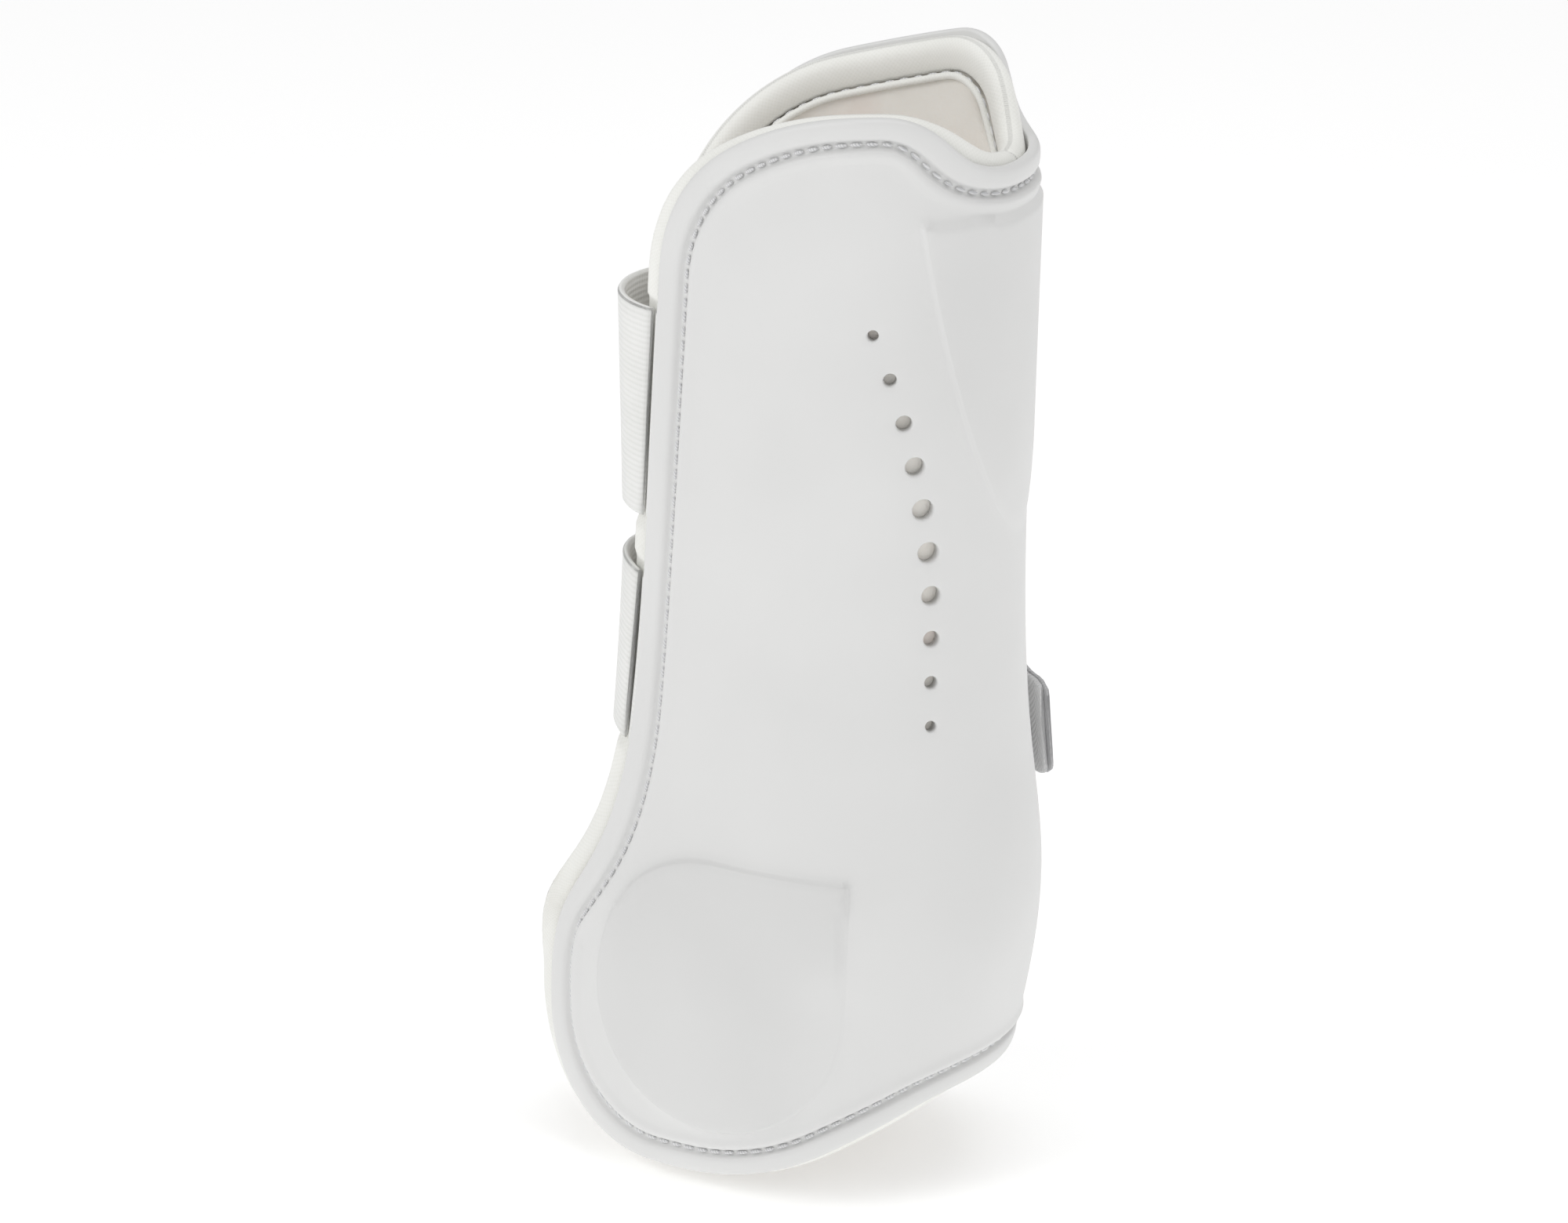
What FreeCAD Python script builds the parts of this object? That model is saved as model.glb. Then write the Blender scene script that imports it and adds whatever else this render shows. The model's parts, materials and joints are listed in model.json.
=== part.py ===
import FreeCAD, Part
import math
import os
import Sketcher

# Horse tendon boot for a right leg, in mm.
# +X points to the back of the leg, +Y to the outside of the leg, +Z up.
# Z = 0 is the lowest edge of the moulded shell; X = Y = 0 is close to the leg's axis at the fetlock.

os.makedirs("parts", exist_ok=True)
doc = FreeCAD.newDocument("tendon_boot")

SIZES = [
    # overall
    ("shell_height", 249.0, "lowest to highest edge of the shell"),
    ("side_radius", 90.0, "radius of both side walls in plan"),
    ("outside_lead", 0.10, "how far the outside panel leads forward, per mm of width"),
    # plan sections: height, rear-most point, half width
    ("foot_drop", 14.0, "lowest section, below the shell"),
    ("foot_rear", 43.0, ""),
    ("foot_half", 37.0, ""),
    ("sole_level", 12.0, "height of the section through the lower edge"),
    ("sole_rear", 50.0, ""),
    ("sole_half", 41.0, ""),
    ("fetlock_level", 38.0, "height of the widest section, over the fetlock joint"),
    ("fetlock_rear", 56.0, ""),
    ("fetlock_half", 42.5, ""),
    ("flare_level", 66.0, "height of the section where the flare starts"),
    ("flare_rear", 59.0, ""),
    ("flare_half", 39.3, ""),
    ("neck_level", 95.0, "height of the section above the flare"),
    ("neck_rear", 56.6, ""),
    ("neck_half", 34.4, ""),
    ("waist_level", 126.0, "height of the slimmest section"),
    ("waist_rear", 55.0, ""),
    ("waist_half", 32.0, ""),
    ("calf_rear", 55.3, "shaft sections, evenly spaced from the waist to the cuff"),
    ("calf_half", 32.1, ""),
    ("shaft_rear", 56.2, ""),
    ("shaft_half", 32.6, ""),
    ("collar_rear", 57.2, ""),
    ("collar_half", 33.3, ""),
    ("cuff_above_top", 16.0, "highest section, above the shell"),
    ("cuff_rear", 58.0, ""),
    ("cuff_half", 34.0, ""),
    # side outline of the shell
    ("crown_x", 31.0, "X of the highest point of the top edge"),
    ("dome_radius", 67.0, "fall of the top edge to the front"),
    ("dome_turn", 33.0, "degrees"),
    ("front_corner_radius", 42.0, ""),
    ("front_lean", 4.0, "degrees the front edge leans"),
    ("neck_radius", 140.0, "hollow of the front edge"),
    ("neck_turn", 22.0, "degrees"),
    ("lobe_radius", 60.0, "front of the fetlock lobe"),
    ("toe_radius", 28.0, "lower front corner"),
    ("sole_run", 8.0, "flat run of the lower edge"),
    ("heel_radius", 75.0, "rise of the lower edge"),
    ("heel_turn", 28.0, "degrees"),
    ("heel_rise", 22.0, "height of the lower edge at the back"),
    ("heel_blend", 35.0, ""),
    ("shoulder_radius", 17.0, "fall of the top edge to the back"),
    ("scoop_turn", 50.0, "degrees"),
    ("scoop_radius", 14.5, ""),
    ("scoop_depth", 15.0, "drop of the top edge at the back"),
    ("outline_reach", 82.0, "X behind everything"),
    # layers
    ("shell_wall", 2.6, "moulded shell"),
    ("emboss_height", 0.9, "raised panels of the shell"),
    ("groove_from_edge", 5.2, "shell edge to the stitch groove"),
    ("groove_width", 1.8, ""),
    ("groove_depth", 1.1, ""),
    ("thread_size", 0.7, "stitching thread"),
    ("foam_wall", 5.0, "foam liner"),
    ("lining_wall", 0.8, "inner fabric"),
    ("roll_swell", 1.2, "how far the rolled edge swells inwards past the lining"),
    ("roll_width", 8.5, "width of the rolled edge"),
    ("piping_width", 1.5, "piping at the inner edge of the roll"),
    ("bead_out", 2.4, "rolled edge outside the shell edge"),
    ("bead_forward", 1.0, "extra at the front"),
    ("bead_down", 1.9, "extra at the bottom, and less at the top"),
    ("front_gap", 9.0, "between the two rolled edges at the front"),
    # raised panels
    ("petal_centre_x", -3.0, ""),
    ("petal_centre_z", 43.0, ""),
    ("petal_radius", 31.0, ""),
    ("guard_point_z", 134.0, "lower end of the tendon guard"),
    ("guard_mid_z", 168.0, ""),
    ("guard_point_x", 59.0, ""),
    ("guard_mid_x", 51.0, ""),
    ("guard_top_x", 41.5, ""),
    ("guard_top_drop", 24.0, ""),
    ("panel_inset", 8.4, "shell edge to a raised panel"),
    # vents
    ("vent_count", 10.0, "per side"),
    ("vent_low_z", 109.0, "lowest vent"),
    ("vent_pitch", 10.1, ""),
    ("vent_small", 2.5, "diameter at the ends of the row"),
    ("vent_extra", 2.4, "added in the middle of the row"),
    ("vent_angle", 51.0, "degrees from straight back"),
    ("vent_sweep", 25.0, "degrees the top vent is further round"),
    # straps
    ("upper_strap_width", 50.0, ""),
    ("upper_strap_z", 170.0, "middle of the strap at the front"),
    ("upper_strap_slope", 0.02, "drop per mm to the back"),
    ("upper_end_angle", 84.0, "where its end leaves the shell, degrees from straight back"),
    ("upper_end_length", 12.0, "straight end"),
    ("lower_strap_width", 41.0, ""),
    ("lower_strap_z", 112.5, "middle of the strap at the front"),
    ("lower_strap_slope", 0.24, "drop per mm to the back"),
    ("lower_end_angle", 62.0, ""),
    ("lower_end_length", 15.5, ""),
    ("strap_front", -36.0, "X that the strap heights are taken at"),
    ("end_height", 24.0, "height of a strap's pointed end"),
    ("taper_length", 26.0, "over which a strap narrows to its end"),
    ("elastic_thick", 1.6, ""),
    ("tab_thick", 1.2, ""),
    ("loop_pad_thick", 1.2, ""),
    ("loop_leave_x", -17.0, "X where the strap leaves the outside panel"),
    ("loop_straight", 12.5, "straight run before it turns round the front"),
    ("hinge_ahead", 1.7, "strap hinge ahead of the inside panel's front edge"),
    ("anchor_length", 24.0, "sewn-in end of the strap"),
    ("anchor_gap", 1.1, "sewn-in end to the hinge line"),
    ("elastic_end_x", -2.0, "X where the elastic ends"),
    ("peel_x", -1.0, "X of the line where the end peels off"),
    ("peel_lift", 0.5, "that line above the elastic"),
    ("seam_patch_length", 12.0, ""),
    ("loop_pad_front_x", -6.0, ""),
    ("loop_pad_margin", 2.0, "loop pad outside the strap's height"),
    # clearances
    ("layer_gap", 0.1, "glued layers"),
    ("strap_gap", 0.35, "strap to whatever it moves over"),
    ("pocket_gap", 0.5, "around the sewn-in end"),
]

sheet = doc.addObject("Spreadsheet::Sheet", "Sizes")
for row, (alias, value, note) in enumerate(SIZES, start=1):
    sheet.set("A%d" % row, alias)
    sheet.set("B%d" % row, str(value))
    sheet.set("C%d" % row, note)
    sheet.setAlias("B%d" % row, alias)
doc.recompute()


def val(alias):
    """Number behind a name in the sheet."""
    return float(sheet.get(alias))


def ref(text):
    """Expression text with every sheet name given its sheet."""
    words = text.replace("(", " ( ").replace(")", " ) ").split()
    names = {alias for alias, value, note in SIZES}
    return " ".join("Sizes." + word if word in names else word for word in words)


STATIONS = [
    ("foot", "- foot_drop"),
    ("sole", "sole_level"),
    ("fetlock", "fetlock_level"),
    ("flare", "flare_level"),
    ("neck", "neck_level"),
    ("waist", "waist_level"),
    ("calf", "waist_level * 0.75 + ( shell_height + cuff_above_top ) * 0.25"),
    ("shaft", "waist_level * 0.5 + ( shell_height + cuff_above_top ) * 0.5"),
    ("collar", "waist_level * 0.25 + ( shell_height + cuff_above_top ) * 0.75"),
    ("cuff", "shell_height + cuff_above_top"),
]


def calc(text):
    """Value of a plus-and-minus expression of sheet names."""
    total = 0.0
    sign = 1.0
    for word in text.split():
        if word in ("+", "-"):
            sign = 1.0 if word == "+" else -1.0
        else:
            total += sign * val(word)
            sign = 1.0
    return total


def plan_section(form, station, level, offset):
    """Closed plan outline of the boot at one height: half round at the back, two side arcs meeting in front."""
    rear = val(station + "_rear")
    half = val(station + "_half")
    grow = calc(offset)
    radius = val("side_radius")
    centre_x = rear - half
    lift = radius - half
    tip = math.pi + math.asin(lift / (radius + grow))
    sketch = doc.addObject("Sketcher::SketchObject", form + "_" + station)
    up = FreeCAD.Vector(0, 0, 1)
    near = Part.Circle(FreeCAD.Vector(centre_x, lift, 0), up, radius + grow)
    back = Part.Circle(FreeCAD.Vector(centre_x, 0, 0), up, half + grow)
    far = Part.Circle(FreeCAD.Vector(centre_x, -lift, 0), up, radius + grow)
    sketch.addGeometry(Part.ArcOfCircle(near, tip, 1.5 * math.pi), False)
    sketch.addGeometry(Part.ArcOfCircle(back, -0.5 * math.pi, 0.5 * math.pi), False)
    sketch.addGeometry(Part.ArcOfCircle(far, 0.5 * math.pi, 2 * math.pi - tip), False)
    rules = [
        ("side_r", Sketcher.Constraint("Radius", 0, radius + grow), "side_radius + " + offset),
        ("back_r", Sketcher.Constraint("Radius", 1, half + grow), station + "_half + " + offset),
        ("far_r", Sketcher.Constraint("Radius", 2, radius + grow), "side_radius + " + offset),
        ("near_x", Sketcher.Constraint("DistanceX", -1, 1, 0, 3, centre_x), station + "_rear - " + station + "_half"),
        ("back_x", Sketcher.Constraint("DistanceX", -1, 1, 1, 3, centre_x), station + "_rear - " + station + "_half"),
        ("far_x", Sketcher.Constraint("DistanceX", -1, 1, 2, 3, centre_x), station + "_rear - " + station + "_half"),
        ("near_y", Sketcher.Constraint("DistanceY", -1, 1, 0, 3, lift), "side_radius - " + station + "_half"),
        ("far_y", Sketcher.Constraint("DistanceY", 2, 3, -1, 1, lift), "side_radius - " + station + "_half"),
    ]
    for name, rule, text in rules:
        index = sketch.addConstraint(rule)
        sketch.renameConstraint(index, name)
        sketch.setExpression("Constraints." + name, ref(text.replace("+ -", "-")))
    sketch.addConstraint(Sketcher.Constraint("PointOnObject", 1, 3, -1))
    sketch.addConstraint(Sketcher.Constraint("Vertical", 0, 2, 0, 3))
    sketch.addConstraint(Sketcher.Constraint("Vertical", 1, 1, 1, 3))
    sketch.addConstraint(Sketcher.Constraint("Vertical", 1, 2, 1, 3))
    sketch.addConstraint(Sketcher.Constraint("Vertical", 2, 1, 2, 3))
    sketch.addConstraint(Sketcher.Constraint("PointOnObject", 0, 1, -1))
    sketch.addConstraint(Sketcher.Constraint("PointOnObject", 2, 2, -1))
    sketch.setExpression("Placement.Base.z", ref(level))
    sketch.Visibility = False
    return sketch


def add_form(name, offset):
    """Solid boot form, grown outwards by the offset expression."""
    loft = doc.addObject("Part::Loft", name)
    loft.Sections = [plan_section(name, station, level, offset) for station, level in STATIONS]
    loft.Solid = True
    loft.Ruled = False
    return loft


form_raised = add_form("form_raised", "emboss_height")
form_face = add_form("form_face", "layer_gap - layer_gap")
form_thread = add_form("form_thread", "thread_size - groove_depth")
form_groove = add_form("form_groove", "- groove_depth")
form_wall = add_form("form_wall", "- shell_wall")
form_foam = add_form("form_foam", "- shell_wall - foam_wall")
form_lining = add_form("form_lining", "- shell_wall - foam_wall - lining_wall")
form_roll = add_form("form_roll", "- shell_wall - foam_wall - lining_wall - roll_swell")
doc.recompute()


class Pen:
    """Draws tangent lines and arcs one after the other in a side view sketch."""

    def __init__(self, x, z, heading):
        self.x = x
        self.z = z
        self.heading = math.radians(heading)
        self.moves = []

    def line(self, length):
        old = FreeCAD.Vector(self.x, self.z, 0)
        self.x += length * math.cos(self.heading)
        self.z += length * math.sin(self.heading)
        self.moves.append((Part.LineSegment(old, FreeCAD.Vector(self.x, self.z, 0)), None))

    def line_to(self, x, z):
        old = FreeCAD.Vector(self.x, self.z, 0)
        self.x = x
        self.z = z
        self.moves.append((Part.LineSegment(old, FreeCAD.Vector(x, z, 0)), None))

    def arc(self, radius_name, turn):
        radius = val(radius_name)
        side = 1.0 if turn > 0 else -1.0
        angle = math.radians(turn)
        centre = FreeCAD.Vector(self.x - side * radius * math.sin(self.heading),
                                self.z + side * radius * math.cos(self.heading), 0)
        start = self.heading - side * math.pi / 2
        circle = Part.Circle(centre, FreeCAD.Vector(0, 0, 1), radius)
        first = min(start, start + angle)
        last = max(start, start + angle)
        self.moves.append((Part.ArcOfCircle(circle, first, last), radius_name))
        self.heading += angle
        self.x = centre.x + radius * math.cos(start + angle)
        self.z = centre.y + radius * math.sin(start + angle)


def drop(radius_name, first, last):
    """Height lost along an arc whose slope below level goes from first to last degrees."""
    return val(radius_name) * (math.cos(math.radians(first)) - math.cos(math.radians(last)))


def side_outline():
    """Side outline of the shell, open rearwards past the back of the boot."""
    height = val("shell_height")
    lean = 90.0 - val("front_lean")
    steep = lean - val("neck_turn")
    pen = Pen(val("crown_x"), height, 180.0)
    pen.arc("dome_radius", val("dome_turn"))
    pen.arc("front_corner_radius", lean - val("dome_turn"))
    arcs_below = abs(drop("neck_radius", steep, lean)) + abs(drop("lobe_radius", steep, 90.0))
    arcs_below += val("toe_radius")
    pen.line((pen.z - arcs_below) / math.sin(math.radians(lean)))
    pen.arc("neck_radius", -val("neck_turn"))
    pen.arc("lobe_radius", 90.0 - steep)
    pen.arc("toe_radius", 90.0)
    pen.line(val("sole_run"))
    pen.arc("heel_radius", val("heel_turn"))
    rise = drop("heel_radius", 0.0, val("heel_turn")) + drop("heel_blend", 0.0, val("heel_turn"))
    pen.line((val("heel_rise") - rise) / math.sin(math.radians(val("heel_turn"))))
    pen.arc("heel_blend", -val("heel_turn"))
    pen.line_to(val("outline_reach"), pen.z)
    scoop_z = height - val("scoop_depth")
    pen.line_to(val("outline_reach"), scoop_z)
    turn = val("scoop_turn")
    fall = drop("shoulder_radius", 0.0, turn) + drop("scoop_radius", 0.0, turn)
    ramp = (val("scoop_depth") - fall) / math.sin(math.radians(turn))
    foot_x = val("crown_x") + ramp * math.cos(math.radians(turn))
    foot_x += (val("shoulder_radius") + val("scoop_radius")) * math.sin(math.radians(turn))
    pen.line_to(foot_x, scoop_z)
    pen.heading = math.pi
    pen.arc("scoop_radius", -turn)
    pen.line(ramp)
    pen.arc("shoulder_radius", turn)
    sketch = doc.addObject("Sketcher::SketchObject", "side_outline")
    sketch.Placement = FreeCAD.Placement(FreeCAD.Vector(), FreeCAD.Rotation(FreeCAD.Vector(1, 0, 0), 90))
    for index, (shape, radius_name) in enumerate(pen.moves):
        sketch.addGeometry(shape, False)
        if radius_name:
            rule = sketch.addConstraint(Sketcher.Constraint("Radius", index, val(radius_name)))
            sketch.renameConstraint(rule, "radius_%d" % index)
            sketch.setExpression("Constraints.radius_%d" % index, ref(radius_name))
    return sketch


outline = side_outline()
doc.recompute()
outline_area = doc.addObject("Part::Face", "outline_area")
outline_area.Sources = [outline]
doc.recompute()
outline_face = outline_area.Shape


def front_edge(z):
    """X of the shell's front edge at one height, on the middle plane."""
    ray = Part.makeLine(FreeCAD.Vector(-200, 0, z), FreeCAD.Vector(val("outline_reach") - 1, 0, z))
    return outline_face.common(ray).BoundBox.XMin


def prism(name, grow, forward="", down=""):
    """Side outline grown by an expression and drawn through the boot from side to side."""
    if grow:
        edge = doc.addObject("Part::Offset2D", name + "_edge")
        edge.Source = outline_area
        edge.setExpression("Value", ref(grow))
        edge.Mode = "Skin"
        edge.Join = "Arc"
    else:
        edge = outline_area
    body = doc.addObject("Part::Extrusion", name)
    body.Base = edge
    body.DirMode = "Custom"
    body.Dir = FreeCAD.Vector(-val("outside_lead"), 1, 0)
    body.setExpression("Dir.x", ref("- outside_lead"))
    body.LengthFwd = 90
    body.LengthRev = 90
    body.Solid = True
    if forward:
        body.setExpression("Placement.Base.x", ref("- " + forward))
        body.setExpression("Placement.Base.z", ref("- " + down))
    return body


def boolean(kind, name, first, second):
    """Part boolean of two objects."""
    result = doc.addObject("Part::" + kind, name)
    result.Base = first
    result.Tool = second
    return result


def common(name, first, second):
    return boolean("Common", name, first, second)


def cut(name, first, second):
    return boolean("Cut", name, first, second)


def fuse(name, shapes):
    result = doc.addObject("Part::MultiFuse", name)
    result.Shapes = shapes
    return result


cut_shell = prism("cut_shell", "")
cut_rim = prism("cut_rim", "- groove_from_edge")
cut_field = prism("cut_field", "- groove_from_edge - groove_width")
thread_in = "- groove_from_edge - groove_width / 2 + thread_size / 2"
cut_thread = prism("cut_thread", thread_in)
cut_thread_inner = prism("cut_thread_inner", "- groove_from_edge - groove_width / 2 - thread_size / 2")
cut_panel = prism("cut_panel", "- panel_inset")
cut_bead = prism("cut_bead", "bead_out", "bead_forward", "bead_down")
cut_liner = prism("cut_liner", "bead_out - roll_width", "bead_forward", "bead_down")
cut_piping = prism("cut_piping", "bead_out - roll_width - piping_width", "bead_forward", "bead_down")


def side_polygon(name, points):
    """Side view polygon drawn through the boot from side to side."""
    wire = doc.addObject("Part::Polygon", name + "_line")
    wire.Nodes = [FreeCAD.Vector(x, 0, z) for x, z in points]
    wire.Close = True
    body = doc.addObject("Part::Extrusion", name)
    body.Base = wire
    body.DirMode = "Custom"
    body.Dir = FreeCAD.Vector(0, 1, 0)
    body.LengthFwd = 90
    body.LengthRev = 90
    body.Solid = True
    return body


# Tendon guard: a raised shield down the back. Petal: a raised teardrop over the fetlock.
reach = val("outline_reach")
guard = side_polygon("guard_area", [
    (val("guard_top_x"), val("shell_height") + 5),
    (val("guard_top_x"), val("shell_height") - val("guard_top_drop")),
    (val("guard_mid_x"), val("guard_mid_z")),
    (val("guard_point_x"), val("guard_point_z")),
    (reach, val("guard_point_z")),
    (reach, val("shell_height") + 5),
])
petal_round = doc.addObject("Part::Cylinder", "petal_round")
petal_round.setExpression("Radius", ref("petal_radius"))
petal_round.Height = 180
petal_round.Placement = FreeCAD.Placement(
    FreeCAD.Vector(val("petal_centre_x"), 90, val("petal_centre_z")),
    FreeCAD.Rotation(FreeCAD.Vector(1, 0, 0), 90))
petal_round.setExpression("Placement.Base.x", ref("petal_centre_x"))
petal_round.setExpression("Placement.Base.z", ref("petal_centre_z"))
petal_square = doc.addObject("Part::Box", "petal_square")
petal_square.setExpression("Length", ref("petal_radius"))
petal_square.setExpression("Height", ref("petal_radius"))
petal_square.Width = 180
petal_square.Placement.Base = FreeCAD.Vector(val("petal_centre_x"), -90, val("petal_centre_z"))
petal_square.setExpression("Placement.Base.x", ref("petal_centre_x"))
petal_square.setExpression("Placement.Base.z", ref("petal_centre_z"))
raised_area = fuse("raised_area", [guard, petal_round, petal_square])
raised_inset = common("raised_inset", raised_area, cut_panel)
raised_full = common("raised_full", form_raised, raised_inset)
smooth_full = common("smooth_full", form_face, cut_shell)
shell_full = fuse("shell_full", [smooth_full, raised_full])
shell_hollow = cut("shell_hollow", shell_full, form_wall)
groove_ring = cut("groove_ring", cut_rim, cut_field)
groove_skin = cut("groove_skin", form_raised, form_groove)
groove_cut = common("groove_cut", groove_skin, groove_ring)
shell_grooved = cut("shell_grooved", shell_hollow, groove_cut)
doc.recompute()


def section_at(z):
    """Centre X and half width of the smooth outer face at one height."""
    wires = form_face.Shape.slice(FreeCAD.Vector(0, 0, 1), z)
    box = wires[0].BoundBox
    return box.XMax - box.YMax, box.YMax


# Vents: a row down each side of the back, largest in the middle.
vents = []
count = int(round(val("vent_count")))
for side in (-1, 1):
    for number in range(count):
        share = (number + 0.5) / count
        z = val("vent_low_z") + number * val("vent_pitch")
        climb = max(0.0, number - 0.25 * (count - 1)) / (0.75 * (count - 1))
        angle = side * (val("vent_angle") + val("vent_sweep") * climb ** 2)
        centre_x, half = section_at(z)
        vent = doc.addObject("Part::Cylinder", "vent_%s_%d" % ("in" if side < 0 else "out", number + 1))
        swell = math.sin(math.pi * share) ** 2
        vent.setExpression("Radius", ref("( vent_small + vent_extra * %.4f ) / 2" % swell))
        vent.setExpression("Height", ref("shell_wall + 4"))
        turn = FreeCAD.Rotation(FreeCAD.Vector(0, 0, 1), angle)
        outward = turn.multVec(FreeCAD.Vector(1, 0, 0))
        start = FreeCAD.Vector(centre_x, 0, z) + outward * (half - val("shell_wall") - 2)
        vent.Placement = FreeCAD.Placement(start, turn * FreeCAD.Rotation(FreeCAD.Vector(0, 1, 0), 90))
        vents.append(vent)
vent_set = doc.addObject("Part::Compound", "vent_set")
vent_set.Links = vents
shell = cut("shell", shell_grooved, vent_set)

thread_ring = cut("thread_ring", cut_thread, cut_thread_inner)
thread_skin = cut("thread_skin", form_thread, form_groove)
rim_stitching = common("rim_stitching", thread_skin, thread_ring)

roll_ring = cut("roll_ring", cut_bead, cut_liner)
roll_skin = cut("roll_skin", form_wall, form_roll)
roll_whole = common("roll_whole", roll_skin, roll_ring)
foam_skin = cut("foam_skin", form_wall, form_foam)
foam_whole = common("foam_whole", foam_skin, cut_liner)
lining_skin = cut("lining_skin", form_foam, form_lining)
lining = common("lining", lining_skin, cut_liner)
piping_ring = cut("piping_ring", cut_liner, cut_piping)
piping_skin = cut("piping_skin", form_lining, form_roll)
piping = common("piping", piping_skin, piping_ring)


class Track:
    """Plan line of a strap at one height: hinge, front loop, outside wall, back, straight end."""

    def __init__(self, z, hinge):
        self.z = z
        self.hinge = hinge
        self.centre_x, self.half = section_at(z)
        self.side = val("side_radius")
        self.low = self.half - self.side
        self.middle = val("strap_gap") + val("loop_pad_thick") + val("layer_gap") + val("elastic_thick") / 2

    def point(self, x, y):
        return FreeCAD.Vector(x, y, self.z)

    def side_angle(self, x):
        return math.asin((x - self.centre_x) / (self.side + self.middle))

    def on_side(self, angle, offset):
        radius = self.side + offset
        return self.point(self.centre_x + radius * math.sin(angle), self.low + radius * math.cos(angle))

    def side_arc(self, first_x, last_x, offset):
        first = self.side_angle(first_x)
        last = self.side_angle(last_x) if last_x is not None else 0.0
        middle = (first + last) / 2
        return Part.Arc(self.on_side(first, offset), self.on_side(middle, offset), self.on_side(last, offset))

    def on_back(self, degrees, offset):
        radius = self.half + offset
        angle = math.radians(degrees)
        return self.point(self.centre_x + radius * math.cos(angle), radius * math.sin(angle))

    def back_arc(self, degrees, offset):
        middle = (90.0 + degrees) / 2
        return Part.Arc(self.on_back(90.0, offset), self.on_back(middle, offset), self.on_back(degrees, offset))

    def loop(self, offset):
        """Arc round the front from the hinge, then the straight run onto the outside wall."""
        leave = self.side_angle(val("loop_leave_x"))
        heading = FreeCAD.Vector(-math.cos(leave), math.sin(leave), 0)
        inward = FreeCAD.Vector(-heading.y, heading.x, 0)
        start = self.on_side(leave, self.middle) + heading * val("loop_straight")
        goal = self.point(self.hinge.x, self.hinge.y)
        chord = goal - start
        turn = math.atan2(heading.x * chord.y - heading.y * chord.x, heading.dot(chord))
        radius = chord.Length / (2 * math.sin(turn))
        centre = start + inward * radius
        spokes = []
        for share in (0.0, 1.0, 2.0):
            turned = FreeCAD.Rotation(FreeCAD.Vector(0, 0, 1), math.degrees(turn * share))
            spokes.append(turned.multVec(inward * -1.0))
        reach_out = radius + offset - self.middle
        corners = [centre + spoke * reach_out for spoke in spokes]
        arc = Part.Arc(corners[2], corners[1], corners[0])
        line = Part.LineSegment(corners[0], self.on_side(leave, offset))
        return [arc, line]

    def path(self, offset, start_x, end):
        """Curves of the track at one offset; start_x None starts at the hinge."""
        curves = []
        if start_x is None:
            curves += self.loop(offset)
            start_x = val("loop_leave_x")
        if end[0] == "side":
            curves.append(self.side_arc(start_x, end[1], offset))
            return curves
        curves.append(self.side_arc(start_x, None, offset))
        curves.append(self.back_arc(end[1], offset))
        if end[2] > 0:
            angle = math.radians(end[1])
            last = self.on_back(end[1], offset)
            straight = FreeCAD.Vector(math.sin(angle), -math.cos(angle), 0) * end[2]
            curves.append(Part.LineSegment(last, last + straight))
        return curves

    def band(self, inner, outer, start_x, end):
        """Closed outline of a strip between two offsets."""
        inside = [curve.toShape() for curve in self.path(inner, start_x, end)]
        outside = [curve.toShape() for curve in self.path(outer, start_x, end)]
        ends = [Part.makeLine(inside[0].Vertexes[0].Point, outside[0].Vertexes[0].Point),
                Part.makeLine(inside[-1].Vertexes[-1].Point, outside[-1].Vertexes[-1].Point)]
        return Part.Wire(Part.__sortEdges__(inside + outside + ends))


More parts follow.
